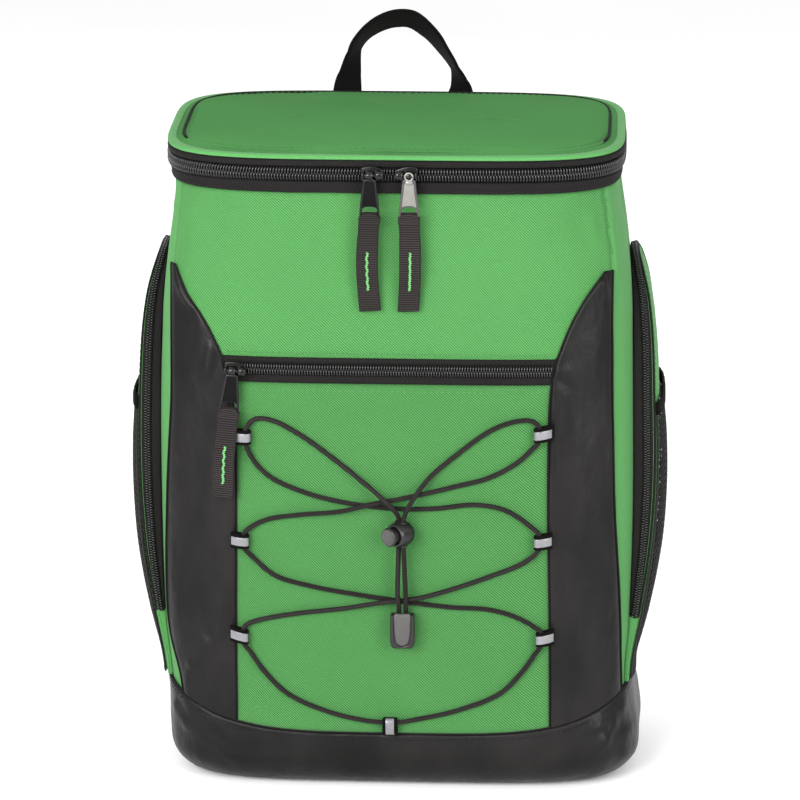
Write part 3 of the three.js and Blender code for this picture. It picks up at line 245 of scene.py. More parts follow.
def back(x, s, off):
    """Points off from the back of the body."""
    x, s = np.asarray(x, float), np.asarray(s, float)
    y = (half_depth(s) + off) * arch(x / (half_width(s, x > 0) + off))
    return stack(x, y, s + lift(y, s))


def flank(side, y, s, off):
    """Points off from one side of the body, at y and heights s."""
    y, s = np.asarray(y, float), np.asarray(s, float)
    x = side * (half_width(s, side > 0) + off) * arch(y / (half_depth(s) + off))
    return stack(x, y, s + lift(y, s))


def seam(q):
    """Height of the base's upper edge, which rises at the corners."""
    return SEAM_FRONT + SEAM_CORNER_RISE * np.minimum(1, np.abs(q)) ** 4


def seam_at(x):
    s = np.full(np.shape(x), float(SEAM_FRONT))
    for _ in range(6):
        s = seam(x / half_width(s, np.asarray(x) > 0))
    return s


def inner(side, s):
    """x of a wing's inner edge."""
    return side * PANEL_HALF * read(WING, 2 if side > 0 else 1, np.asarray(s, float) / BODY_HEIGHT)


def corner(side, s):
    """x of a wing's outer edge, at the corner of the body."""
    share = read(WING, 4 if side > 0 else 3, np.asarray(s, float) / BODY_HEIGHT)
    return side * half_width(s, side > 0) * share


# uneven cloth
def uneven(points, size, seed=0.0, stretch=(1, 1, 1)):
    """Soft noise, about -1 to 1, whose lumps are about size wide."""
    flat = (np.asarray(points, float).reshape(-1, 3) / (size * np.array(stretch))) + seed
    values = np.fromiter((noise.noise(Vector(p)) for p in flat.tolist()), float, len(flat))
    return values.reshape(np.shape(points)[:-1]) * 1.6


def folds(table, x, z):
    """Ridges and valleys along short lines: x0, z0, x1, z1, height, half width."""
    total = np.zeros(np.shape(x))
    for x0, z0, x1, z1, high, wide in table:
        dx, dz = x1 - x0, z1 - z0
        length = math.hypot(dx, dz)
        t = ((x - x0) * dx + (z - z0) * dz) / length**2
        near = np.clip(t, 0, 1)
        gap = np.hypot(x - x0 - near * dx, z - z0 - near * dz)
        fade = ease((t + 0.25) / 0.35) * ease((1.25 - t) / 0.35)
        total += high * fade * np.exp(-((gap / wide) ** 2))
    return total


# meshes
class Shape:
    """Points and faces gathered for one mesh, with a cloth map in millimetres."""

    def __init__(self):
        self.points, self.quads, self.maps, self.looks, self.count = [], [], [], [], 0

    def put(self, points):
        points = np.asarray(points, float).reshape(-1, 3)
        start = self.count
        self.points.append(points)
        self.count += len(points)
        return start

    def faces(self, quads, uv, look=0):
        self.quads.append(np.asarray(quads).reshape(-1, 4))
        self.maps.append(np.asarray(uv, float).reshape(-1, 4, 2))
        self.looks.append(np.broadcast_to(look, len(self.quads[-1])))

    @staticmethod
    def cloth_map(p, wrap):
        p = np.concatenate([p, p[:, :1]], 1) if wrap else p
        across = np.linalg.norm(np.diff(p, axis=1), axis=-1)
        u = np.concatenate([np.zeros((len(p), 1)), np.cumsum(across, 1)], 1)
        u -= u[:, [u.shape[1] // 2]]
        along = np.linalg.norm(np.diff(p, axis=0), axis=-1)
        v = np.concatenate([np.zeros((1, p.shape[1])), np.cumsum(along, 0)], 0)
        return np.stack([u, v], -1)

    def index_grid(self, index, uv, wrap=False, look=0):
        index = np.concatenate([index, index[:, :1]], 1) if wrap else index
        corners = [(slice(None, -1), slice(None, -1)), (slice(None, -1), slice(1, None)),
                   (slice(1, None), slice(1, None)), (slice(1, None), slice(None, -1))]
        quads = np.stack([index[c] for c in corners], -1)
        if not np.isscalar(look):
            look = np.asarray(look).reshape(-1)
        self.faces(quads, np.stack([uv[c] for c in corners], -2), look)

    def grid(self, p, wrap=False, look=0, uv=None):
        rows, cols = p.shape[:2]
        index = self.put(p) + np.arange(rows * cols).reshape(rows, cols)
        uv = self.cloth_map(p, wrap) if uv is None else uv
        self.index_grid(index, uv, wrap, look)
        return index, uv

    def fan(self, ring, centre, uv=(0, 0)):
        """Closes a ring of point numbers with one middle point."""
        middle = self.put([centre])
        ring = np.asarray(ring)
        quads = np.stack([ring, np.roll(ring, -1), np.full_like(ring, middle)], -1)
        quads = np.concatenate([quads, quads[:, 2:]], 1)
        self.faces(quads, np.broadcast_to(uv, (len(ring), 4, 2)))

    def sheet(self, outer, under, wrap=False, look=0):
        """A cloth with two faces, closed along its edges."""
        top, uv = self.grid(outer, wrap, look)
        low, _ = self.grid(under, wrap, 0 if not np.isscalar(look) else look, uv)
        for row in (0, -1):
            strip = np.stack([top[row], low[row]])
            self.index_grid(strip, np.stack([uv[row], uv[row]]), wrap)
        if not wrap:
            for col in (0, -1):
                strip = np.stack([top[:, col], low[:, col]])
                self.index_grid(strip, np.stack([uv[:, col], uv[:, col]]))
        return top

    def join(self, first, second, uv, look=0):
        """Closes the gap between two rings of point numbers."""
        self.index_grid(np.stack([first, second]), np.stack([uv, uv]), True, look)

    def rings(self, rows, look=0, closed=False):
        """Closed sections one after another, with both ends capped unless closed."""
        rows = np.asarray(rows, float)
        count = len(rows)
        index = self.put(rows) + np.arange(count * rows.shape[1]).reshape(count, -1)
        uv = self.cloth_map(rows, True)
        self.index_grid(index, uv, True, look)
        if closed:
            self.join(index[-1], index[0], uv[-1])
            return
        self.fan(index[0], rows[0].mean(0), uv[0, 0])
        self.fan(index[-1], rows[-1].mean(0), uv[-1, 0])

    def tube(self, line, radius, sides=8, look=0, flat=1.0):
        line = np.asarray(line, float)
        _, across, out = frames(line)
        turn = full_turn(sides)
        radius = np.broadcast_to(radius, len(line))[:, None, None]
        ring = (
            across[:, None] * np.cos(turn)[None, :, None]
            + out[:, None] * (np.sin(turn) * flat)[None, :, None]
        )
        self.rings(line[:, None] + ring * radius, look)

    def copies(self, points, quads, origins, axes, look=0):
        """One small form put at many places: axes are three arrays of directions."""
        points, quads = np.asarray(points, float), np.asarray(quads)
        spread = sum(points[None, :, k, None] * axes[k][:, None] for k in range(3))
        start = self.put(origins[:, None] + spread)
        all_quads = quads[None] + start + (np.arange(len(origins)) * len(points))[:, None, None]
        uv = points[quads][..., :2]
        uv = np.broadcast_to(uv, (len(origins), *uv.shape))
        self.faces(all_quads, uv, look)


def unit(v):
    return v / np.maximum(np.linalg.norm(v, axis=-1, keepdims=True), 1e-12)


def frames(line):
    """Directions along a line, and two across it that turn as little as they can."""
    along = unit(np.gradient(line, axis=0))
    start = np.array([0, -1.0, 0]) if abs(along[0][1]) < 0.9 else np.array([0, 0, 1.0])
    out, rows = start, []
    for t in along:
        out = out - t * (out @ t)
        out = out / np.linalg.norm(out)
        rows.append(out)
    out = np.array(rows)
    return along, np.cross(along, out), out


def spline(points, per):
    """A centripetal curve through the points, with per steps between two of them."""
    p = np.asarray(points, float)
    p = np.vstack([2 * p[0] - p[1], p, 2 * p[-1] - p[-2]])
    rows = []
    for i in range(1, len(p) - 2):
        x0, x1, x2, x3 = p[i - 1:i + 3]
        d0, d1, d2 = (max(1e-4, np.linalg.norm(b - a)) ** 0.5
                      for a, b in ((x0, x1), (x1, x2), (x2, x3)))
        t1 = ((x1 - x0) / d0 - (x2 - x0) / (d0 + d1) + (x2 - x1) / d1) * d1
        t2 = ((x2 - x1) / d1 - (x3 - x1) / (d1 + d2) + (x3 - x2) / d2) * d1
        for k in range(per):
            t = k / per
            rows.append(
                x1 + t1 * t + (3 * (x2 - x1) - 2 * t1 - t2) * t * t
                + (2 * (x1 - x2) + t1 + t2) * t**3
            )
    return np.array(rows + [p[-2]])


def even(line, step):
    """The line again, in steps of about equal length; other arrays along it follow."""
    run = run_along(line[:, :3])
    at = np.linspace(0, run[-1], max(2, round(run[-1] / step) + 1))
    return np.stack([np.interp(at, run, line[:, k]) for k in range(line.shape[1])], 1)


def piece(name, shape, looks, slot=None, body="bag", stands_for=(), sharp=None, weld=None):
    """Makes the mesh object, sets it to ride on its body, and hides the solids that it stands for."""
    points = np.concatenate(shape.points) * MM
    quads = np.concatenate(shape.quads)
    maps, faces_look = np.concatenate(shape.maps), np.concatenate(shape.looks)
    faces, loop_uv = [], []
    for quad, uv in zip(quads.tolist(), maps.tolist()):
        if quad[2] == quad[3]:
            quad, uv = quad[:3], uv[:3]
        faces.append(quad)
        loop_uv.extend(uv)
    mesh = bpy.data.meshes.new(name)
    mesh.from_pydata(points.tolist(), [], faces)
    layer = mesh.uv_layers.new(name="cloth")
    layer.uv.foreach_set("vector", np.array(loop_uv, np.float32).ravel())
    looks = looks if isinstance(looks, (list, tuple)) else [looks]
    for look in looks:
        mesh.materials.append(look)
    mesh.polygons.foreach_set("material_index", faces_look.astype(np.int32))
    mesh.polygons.foreach_set("use_smooth", np.ones(len(faces), bool))
    bm = bmesh.new()
    bm.from_mesh(mesh)
    if weld:
        bmesh.ops.remove_doubles(bm, verts=bm.verts, dist=weld * MM)
    bmesh.ops.recalc_face_normals(bm, faces=bm.faces)
    if sharp:
        for edge in bm.edges:
            if len(edge.link_faces) == 2 and edge.calc_face_angle(0) > math.radians(sharp):
                edge.smooth = False
    bm.to_mesh(mesh)
    bm.free()
    made = bpy.data.objects.new(name, mesh)
    scene.collection.objects.link(made)
    return place(made, slot, body, stands_for)


def place(made, slot, body, stands_for):
    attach(made, body)
    if stands_for:
        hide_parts(*([stands_for] if isinstance(stands_for, str) else stands_for))
    return made


def capsule(length, radius, sides=5, rings=4, squash=1.0):
    """A short rounded thread along the first axis: points and faces."""
    t = np.linspace(-1, 1, rings)
    x = t * length / 2
    r = radius * np.maximum(0.25, 1 - np.abs(t) ** 3)
    turn = full_turn(sides)
    p = np.stack([
        np.repeat(x, sides), (r[:, None] * np.cos(turn)).ravel(),
        (r[:, None] * np.sin(turn) * squash).ravel(),
    ], -1)
    quads = []
    for i in range(rings - 1):
        for j in range(sides):
            k = (j + 1) % sides
            quads.append([i * sides + j, i * sides + k, (i + 1) * sides + k, (i + 1) * sides + j])
    for start in (0, (rings - 1) * sides):
        for j in range(1, sides - 1):
            quads.append([start, start + j, start + j + 1, start + j + 1])
    return p, np.array(quads)


def stitches(shape, line, normals, length=2.9, gap=1.3, radius=0.34, proud=0.12):
    """A row of stitches lying along a line on the cloth."""
    both = even(np.concatenate([line, normals], 1), (length + gap) / 2)
    points, out = both[:, :3], unit(both[:, 3:])
    along = unit(np.gradient(points, axis=0))[::2]
    points, out = points[::2], out[::2]
    across = unit(np.cross(out, along))
    form, quads = capsule(length, radius)
    shape.copies(form, quads, points + out * proud, [along, across, out])


def round_line(cx, sy, s, off):
    """A line round the bag at some heights, and its outward directions."""
    s = np.broadcast_to(np.asarray(s, float), np.shape(cx))
    at, beyond = (skin(cx, sy, s, np.full(len(cx), float(k))) for k in (off, off + 1))
    return at, unit(beyond - at)


# materials
def shade(colour, k):
    return [c * k for c in colour]


def tint(colour, k):
    return (*shade(colour, k), 1)

class Look:
    """A node material that grows one node at a time."""

    def __init__(self, name, roughness, **sockets):
        self.material = bpy.data.materials.new(name)
        self.material.use_nodes = True
        self.tree = self.material.node_tree
        self.shader = self.tree.nodes["Principled BSDF"]
        self.shader.inputs["Roughness"].default_value = roughness
        for socket, value in sockets.items():
            self.shader.inputs[socket.replace("_", " ")].default_value = value

    def node(self, kind, inputs=(), out=0, **settings):
        made = self.tree.nodes.new("ShaderNode" + kind)
        for key, value in settings.items():
            setattr(made, key, value)
        for key, value in dict(inputs).items():
            if isinstance(value, bpy.types.NodeSocket):
                self.tree.links.new(value, made.inputs[key])
            else:
                made.inputs[key].default_value = value
        return made.outputs[out]

    def math(self, operation, a, b=0.0):
        return self.node("Math", {0: a, 1: b}, operation=operation)

    def place(self):
        return self.node("TexCoord", out="Object")

    def cloth(self):
        """The cloth map's two lengths, in millimetres."""
        both = self.node("UVMap", uv_map="cloth")
        apart = self.node("SeparateXYZ", {0: both}).node
        return apart.outputs[0], apart.outputs[1]

    def noise(self, scale, detail=3.0, vector=None, stretch=None):
        vector = vector or self.place()
        if stretch:
            vector = self.node("Mapping", {"Vector": vector, "Scale": stretch})
        return self.node("TexNoise", {"Vector": vector, "Scale": scale, "Detail": detail})

    def wave(self, value, period, shift=0.0):
        turned = self.math("MULTIPLY", value, 2 * math.pi / period)
        return self.math("SINE", self.math("ADD", turned, shift) if shift else turned)

    def ramp(self, value, low, high, start=0.0, end=1.0):
        made = self.node("ValToRGB", {0: value}).node
        stops = made.color_ramp.elements
        stops[0].position, stops[1].position = start, end
        stops[0].color, stops[1].color = (*low, 1), (*high, 1)
        return made.outputs[0]

    def blend(self, factor, a, b, kind="MIX"):
        return self.node("Mix", {0: factor, 6: a, 7: b}, out=2, data_type="RGBA", blend_type=kind)

    def spread(self, value, low, high):
        return self.node("MapRange", {0: value, 3: low, 4: high})

    def share(self, wave):
        """A wave between -1 and 1, as a share between 0 and 1."""
        return self.node("MapRange", {0: wave, 1: -1.0, 3: 0.0, 4: 1.0})

    def threads(self, share, colour, deep, light):
        """The colour, from a deep to a light shade of it."""
        return self.blend(share, tint(colour, deep), tint(colour, light))

    def toned(self, colour, values, low, high, start=0.3, end=0.7):
        """The colour, made darker and lighter by soft values."""
        tones = self.ramp(values, [low] * 3, [high] * 3, start, end)
        return self.blend(1.0, colour, tones, "MULTIPLY")

    def colour(self, value):
        self.tree.links.new(value, self.shader.inputs["Base Color"])

    def rough(self, value):
        self.tree.links.new(value, self.shader.inputs["Roughness"])

    def bump(self, height, distance, strength=1.0, below=None):
        inputs = {"Height": height, "Distance": distance * MM, "Strength": strength}
        if below:
            inputs["Normal"] = below
        made = self.node("Bump", inputs)
        self.tree.links.new(made, self.shader.inputs["Normal"])
        return made


TWILL = 1.35


def woven(name, deep, light, strength=0.55, sheen=0.06, shine=0.12):
    """Matte green twill: slanting ribs crossed by finer ones, and slow changes of tone."""
    look = Look(name, 0.8, Sheen_Weight=sheen, Sheen_Roughness=0.5, Specular_IOR_Level=shine)
    u, v = look.cloth()
    ribs = look.wave(look.math("ADD", u, v), TWILL * 1.414)
    cross = look.wave(look.math("SUBTRACT", u, v), TWILL * 1.06)
    weave = look.math("ADD", look.math("MULTIPLY", ribs, 0.6), look.math("MULTIPLY", cross, 0.4))
    share, fuzz = look.share(weave), look.noise(700.0, 2.0)
    mixed = look.toned(look.threads(share, GREEN, deep, light), look.noise(9.0, 2.0), 0.94, 1.0)
    look.colour(look.toned(mixed, fuzz, 0.93, 1.0, 0.35, 0.65))
    look.bump(share, 0.16, strength, look.bump(fuzz, 0.05, 0.5))
    return look.material


def coated(name, colour, roughness=0.4):
    """Soft coated cloth with a fine grain and small creases; a broad satin sheen is painted into its colour
    as light patches, and the creases are painted darker and lighter.
    """
    look = Look(name, roughness, Specular_IOR_Level=0.15)
    creases = look.noise(24.0, 5.0, stretch=(1.5, 1.5, 0.8))
    wear_and_sheen = look.noise(11.0, 4.0, stretch=(1.3, 1.3, 0.6))
    # painted sheen: soft patches up to two and a half times lighter than the colour stand in for satin
    # highlights
    painted_sheen = look.ramp(wear_and_sheen, shade(colour, 0.7), shade(colour, 2.5), 0.36, 0.74)
    # painted shade and light along the creases: the colour darkens and lightens with the crease noise that
    # also bumps the surface
    look.colour(look.toned(painted_sheen, creases, 0.72, 1.25, 0.38, 0.64))
    look.rough(look.spread(wear_and_sheen, roughness + 0.08, roughness - 0.08))
    look.bump(creases, 4.0, 0.75, look.bump(look.noise(1400.0, 2.0), 0.06, 0.55))
    return look.material


def ribbed(name, colour, rib=1.5, strength=0.8, deep=0.55, light=1.35, shine=0.08):
    """Webbing or tape: ribs across it and small threads along it."""
    look = Look(name, 0.72, Sheen_Weight=0.01, Specular_IOR_Level=shine)
    u, v = look.cloth()
    ribs, fine = look.wave(v, rib), look.wave(u, 0.9)
    height = look.math("ADD", look.math("MULTIPLY", ribs, 0.7), look.math("MULTIPLY", fine, 0.3))
    share = look.share(height)
    mixed = look.threads(share, colour, deep, light)
    look.colour(look.toned(mixed, look.noise(26.0, 3.0), 0.85, 1.1))
    look.bump(share, 0.22, strength)
    return look.material


def herringbone(name, colour):
    """Zip tape: narrow chevrons along it."""
    look = Look(name, 0.74, Sheen_Weight=0.02, Specular_IOR_Level=0.10)
    u, v = look.cloth()
    fold = look.node("Math", {0: v, 1: 1.7}, operation="PINGPONG")
    share = look.share(look.wave(look.math("ADD", u, fold), 1.25))
    mixed = look.threads(share, colour, 0.6, 1.4)
    look.colour(look.toned(mixed, look.noise(30.0, 3.0), 0.85, 1.1))
    look.bump(share, 0.14, 0.7)
    return look.material


def braided(name, colour):
    """Elastic cord: crossing strands round it."""
    look = Look(name, 0.5, Sheen_Weight=0.02, Specular_IOR_Level=0.15)
    u, v = look.cloth()
    one = look.wave(look.math("ADD", u, v), 1.7)
    two = look.wave(look.math("SUBTRACT", u, v), 1.7)
    share = look.share(look.math("MULTIPLY", one, two))
    mixed = look.threads(share, colour, 0.6, 1.35)
    look.colour(look.toned(mixed, look.noise(60.0, 2.0), 0.85, 1.12))
    look.bump(share, 0.16, 0.7)
    return look.material


def moulded(name, colour, roughness, grain=0.03, coat=0.0, metallic=0.0, wear=0.25, shine=0.5):
    """Moulded plastic or plated metal, with faint grain and edges pale with wear."""
    look = Look(name, roughness, Coat_Weight=coat, Coat_Roughness=0.12, Metallic=metallic,
                Specular_IOR_Level=shine)
    smears = look.noise(90.0, 4.0)
    edges = look.node("NewGeometry", out="Pointiness")
    # pale wear on sharp edges
    wear_and_sheen = look.ramp(edges, [0, 0, 0], [1, 1, 1], 0.5, 0.62)
    dull = look.ramp(smears, shade(colour, 0.85), shade(colour, 1.15), 0.3, 0.7)
    pale = [min(1, c * 1.8 + 0.03) for c in colour]
    look.colour(look.blend(look.math("MULTIPLY", wear_and_sheen, wear), dull, (*pale, 1)))
    look.rough(look.spread(smears, roughness * 0.8, roughness * 1.25))
    look.bump(look.noise(900.0, 2.0), grain, 0.5)
    return look.material


def sewn(name, colour):
    """Sewing thread, twisted."""
    look = Look(name, 0.6, Sheen_Weight=0.05, Specular_IOR_Level=0.15)
    u, v = look.cloth()
    share = look.share(look.wave(look.math("ADD", u, v), 0.5))
    look.colour(look.threads(share, colour, 0.8, 1.15))
    look.bump(share, 0.08, 0.6)
    return look.material


def beaded(name, colour):
    """Silver reflective tape: tiny cells under a clear face."""
    look = Look(name, 0.32, Metallic=0.35, Coat_Weight=0.4, Coat_Roughness=0.2)
    cells = look.node("TexVoronoi", {"Vector": look.place(), "Scale": 1500.0})
    smears = look.noise(120.0, 3.0)
    look.colour(look.ramp(smears, shade(colour, 0.85), shade(colour, 1.12), 0.3, 0.7))
    look.bump(cells, 0.05, 0.6)
    return look.material


def spacer(name, colour):
    """Padding cloth with a pattern of small round holes."""
    look = Look(name, 0.85, Sheen_Weight=0.3, Specular_IOR_Level=0.2)
    u, v = look.cloth()
    share = look.share(look.math("MULTIPLY", look.wave(u, 3.2), look.wave(v, 3.2)))
    mixed = look.ramp(share, shade(colour, 0.4), shade(colour, 1.25), 0.25, 0.6)
    look.colour(look.toned(mixed, look.noise(20.0, 3.0), 0.85, 1.08))
    look.bump(share, 0.5, 0.7)
    return look.material


GREEN, CHARCOAL = (0.062, 0.212, 0.060), (0.0040, 0.0036, 0.0035)
BLACK, CORD_BROWN = (0.0070, 0.0062, 0.0060), (0.0085, 0.0060, 0.0058)
JET = (0.002, 0.002, 0.002)
green = woven("green_twill", 0.24, 1.44, strength=1.0, shine=0.06)
# a darker copy of the green for the pocket's front: painted shade, as if the light fell off towards the
# bottom
green_pocket_shaded = woven("green_pocket_shaded", 0.14, 1.24, strength=1.0, shine=0.06)
# a lighter, flatter copy of the green for the sides: painted light on the faces that turn sideways
green_side_lit = woven("green_side_lit", 0.80, 1.20, strength=0.4)
# a lighter copy of the green for the lid's rolled rim: painted light on the rim
green_rim_lit = woven("green_rim_lit", 0.9, 1.3, strength=0.4)
# a darker copy of the green for the lid's top: painted shade on the top
green_lid_shaded = woven("green_lid_shaded", 0.70, 0.92, strength=0.3, sheen=0.0, shine=0.03)
pu = coated("charcoal_coated", CHARCOAL)
tape_black = herringbone("zip_tape", BLACK)
binding = ribbed("binding_tape", BLACK, rib=0.9, strength=0.5)
webbing = ribbed("webbing", shade(BLACK, 0.45), rib=1.7, shine=0.03)
# the ribbon's ribs run from nearly black to light: painted shade in the grooves and painted highlight on the
# ribs, over their real bumps
grosgrain = ribbed("grosgrain", shade(BLACK, 1.9), 1.55, strength=0.4, deep=0.03, light=2.7, shine=0.03)
coil_look = moulded("zip_coil", shade(BLACK, 0.4), 0.14, grain=0.01, wear=0.1, coat=0.05)
cord_look = braided("elastic_braid", CORD_BROWN)
black_gloss = moulded("black_metal", JET, 0.18, grain=0.01, coat=0.1, shine=0.3, wear=0.1)
black_panel = moulded("black_panel", JET, 0.36, grain=0.02, shine=0.04, wear=0.1)
gunmetal = moulded("gunmetal", (0.20, 0.19, 0.175), 0.38, grain=0.02, metallic=0.7)
gunmetal_dark = moulded("gunmetal_rim", (0.07, 0.068, 0.068), 0.34, grain=0.02, metallic=0.6)
plastic = moulded("barrel_plastic", (0.0090, 0.0080, 0.0079), 0.30, grain=0.04, shine=0.35)
plastic_grey = moulded("button_plastic", (0.045, 0.042, 0.040), 0.36, grain=0.04)
black_plastic = moulded("black_plastic", (0.012, 0.0115, 0.0115), 0.40, grain=0.05)
reflective = beaded("reflective", (0.17, 0.17, 0.18))
green_thread = sewn("green_thread", (0.13, 0.38, 0.13))
green_stitch = sewn("green_stitch", shade(GREEN, 0.80))
# the lid's thread is darker than the front's stitches, like the lid's cloth: painted shade on the top
lid_thread = sewn("lid_thread", shade(GREEN, 0.66))
black_thread = sewn("black_thread", shade(BLACK, 0.9))
net_yarn = sewn("net_yarn", shade(BLACK, 1.1))
pad_cloth = spacer("air_mesh", (0.020, 0.019, 0.019))
strap_cloth = ribbed("strap_cloth", (0.014, 0.0135, 0.0135), rib=1.2, strength=0.5)


# shared forms

def band(shape, profile, cx, sy, whole=True, look=0, wobble=0.0, seed=0.0):
    """A closed profile of (off, height) carried along the plan."""
    profile = np.asarray(profile, float)
    off, s = profile[:, :1], profile[:, 1:]
    p = skin(cx[None], sy[None], s, off)
    if wobble:
        s, off = s + wobble * uneven(p, 22, seed + 9), off + wobble * uneven(p, 26, seed)
        p = skin(cx[None], sy[None], s, off)
    index, uv = shape.grid(p, whole, look)
    ends, seam_uv = np.stack([index[-1], index[0]]), np.stack([uv[-1], uv[-1]])
    shape.index_grid(ends, seam_uv, whole, look)
    if not whole:
        for col in (0, -1):
            shape.fan(index[:, col], p[:, col].mean(0))
    return p


def rounded(low, high, inside, outside, radius=0.8, steps=4):
    """Profile of a tape seen in section, (off, height), with rounded outer corners."""
    centre = outside - radius
    turn = np.linspace(0, np.pi / 2, steps)
    lower = [(centre + radius * math.sin(t), low + radius - radius * math.cos(t)) for t in turn]
    upper = [(centre + radius * math.cos(t), high - radius + radius * math.sin(t)) for t in turn]
    return [(inside, low), *lower, (outside, (low + high) / 2), *upper, (inside, high)]


def tooth(half, proud, pitch, radius=0.5, sides=5, per=2):
    """One turn of a zip coil, from the middle line over to the tape: points and faces."""
    line = spline([
        (-0.14 * half, 0.0, 0.50 * proud), (0.06 * half, 0.02 * pitch, 0.90 * proud),
        (0.50 * half, 0.06 * pitch, 1.0 * proud), (0.86 * half, 0.14 * pitch, 0.74 * proud),
        (1.0 * half, 0.18 * pitch, 0.08 * proud),
    ], per)
    form = Shape()
    form.tube(line, radius, sides)
    return np.concatenate(form.points), np.concatenate(form.quads)


def coil(shape, line, out, half, proud, pitch, radius=0.5, look=0, per=2):
    """Two interleaved rows of coil turns along a line whose outward directions are given."""
    both = even(np.concatenate([line, out], 1), pitch / 2)
    points, out = both[:, :3], unit(both[:, 3:])
    along = unit(np.gradient(points, axis=0))
    across = unit(np.cross(along, out))
    form, quads = tooth(half, proud, pitch, radius, per=per)
    for first, side in ((0, 1), (1, -1)):
        pick = slice(first, None, 2)
        shape.copies(form, quads, points[pick], [across[pick] * side, along[pick], out[pick]], look)


def section(wide, thick, edge, steps=4, across=9):
    """A flat strap's closed section: half width, half thickness, and rounded edges."""
    edge = min(edge, thick / 2 * 0.999)
    u, v = wide / 2 - edge, thick / 2 - edge
    rows = []
    for cx, cy, first in ((u, v, 0), (-u, v, 90), (-u, -v, 180), (u, -v, 270)):
        for t in np.radians(np.linspace(first, first + 90, steps)):
            rows.append((cx + edge * math.cos(t), cy + edge * math.sin(t)))
        if first in (0, 180):
            start = 1 if first == 0 else -1
            for k in range(1, across):
                rows.append((start * u * (1 - 2 * k / across), start * thick / 2))
    return np.array(rows)


def swept(at, across, out, profile):
    """Rows of points: a section, or one section for each row, carried along a line."""
    profile = np.broadcast_to(profile, (len(at), *np.shape(profile)[-2:]))
    return at[:, None] + across[:, None] * profile[..., :1] + out[:, None] * profile[..., 1:]


def bead(near, radius):
    """Rounded edge: 0 at the edge, 1 from radius inwards."""
    t = np.clip(near / radius, 0, 1)
    return np.sqrt(np.maximum(0, 1 - (1 - t) ** 2))


def smooth_outline(points, per=6):
    p = np.asarray(points, float)
    closed = np.vstack([p[-2:], p, p[:3]])
    line = spline(np.column_stack([closed, np.zeros(len(closed))]), per)[:, :2]
    return line[2 * per:2 * per + len(p) * per]


def inset(outline, by):
    """A closed 2-D outline moved inwards."""
    along = np.roll(outline, -1, 0) - np.roll(outline, 1, 0)
    normal = unit(np.column_stack([-along[:, 1], along[:, 0]]))
    after = np.roll(outline, -1, 0)
    area = np.sum(outline[:, 0] * after[:, 1] - outline[:, 1] * after[:, 0])
    return outline + normal * by * np.sign(area)


def turned(shape, profile, place_at, sides=40, looks=None):
    """A turned form: profile of (radius, along), placed by a function of local points."""
    turn = full_turn(sides)
    profile = np.asarray(profile, float)
    rows = place_at(stack(profile[:, :1] * np.cos(turn), profile[:, 1:], profile[:, :1] * np.sin(turn)))
    look = 0 if looks is None else np.repeat(looks, sides).reshape(-1, sides)
    index, uv = shape.grid(rows, True, look)
    for row in (0, -1):
        shape.fan(index[row], rows[row].mean(0), uv[row, 0])


# bag cloth
ROUND, SHELL_ROWS = 400, 95
CX, SY = plan(ROUND)
UPPER_FOLDS = [
    (-121.0, 393.9, -104.5, 385.0, 1.0, 3.2), (-145.1, 385.5, -125.6, 394.8, 0.9, 3.0),
    (-104.5, 385.0, -109.3, 366.2, 0.8, 3.6), (140.0, 391.6, 122.8, 386.7, 1.0, 3.2),
    (126.0, 387.8, 132.6, 367.5, 0.8, 3.6), (-70, 322, -20, 318, -0.4, 8), (30, 330, 84, 322, -0.4, 8),
]


def shell():
    """The green cloth of the body, a wall with its inside."""
    turn = np.linspace(0, np.pi / 2, 9)
    s = np.concatenate([
        ROUND_CENTRE - BOTTOM_ROUND * np.cos(turn),
        np.linspace(ROUND_CENTRE, BODY_HEIGHT - SEAT, SHELL_ROWS + 1)[1:],
    ])
    off = np.concatenate([-BOTTOM_ROUND * (1 - np.sin(turn)), np.zeros(SHELL_ROWS)])
    p = skin(CX[None], SY[None], s[:, None], off[:, None])
    x, z = p[..., 0], p[..., 2]
    soft = 0.22 * uneven(p, 60) - 0.2
    # dents between the wings' tips and the lid's band
    high = ease((s[:, None] - 300) / 25) * ease((404 - s[:, None]) / 12)
    ahead = SY[None] < -0.2
    soft = soft + high * (0.75 * uneven(p, 75, 3.3) + 0.3 * uneven(p, 30, 5.1)) * np.where(ahead, 1, 0.7)
    soft = soft + np.where(ahead, folds(UPPER_FOLDS, x, z), 0) * high
    for side in (-1, 1):
        near = np.abs(x - corner(side, s[:, None]))
        tall = ease((s[:, None] - 345) / 6) * (side * x > 0)
        ridge = 0.75 * np.exp(-((near - 2.3) / 1.6) ** 2) - np.exp(-(near / 1.2) ** 2)
        soft = soft + tall * ridge * (SY[None] < 0)
    p = skin(CX[None], SY[None], s[:, None], off[:, None] + soft)
    # faces beyond the wings' outer edges, round the sides, take the lighter copy of the green: painted light
    # on the sides
    beyond = np.abs(x) > np.where(x > 0, corner(1, s[:, None]), -corner(-1, s[:, None]))
    looks = (beyond[:-1] & beyond[1:]).astype(int)
    form = Shape()
    outer, uv = form.grid(p, True, looks)
    form.fan(outer[0], p[0].mean(0))
    # the inside of the wall
    levels = np.array([BODY_HEIGHT - SEAT, 380, 320, 240, 150, 80, 40, ROUND_CENTRE + 1])[:, None]
    inner_rows = skin(CX[None], SY[None], levels, np.full(levels.shape, -float(WALL)))
    under, _ = form.grid(inner_rows, True)
    form.join(outer[-1], under[0], uv[-1])
    form.fan(under[-1], inner_rows[-1].mean(0))
    piece("bag_cloth", form, [green, green_side_lit], "green_fabric", stands_for="body_shell")


shell()

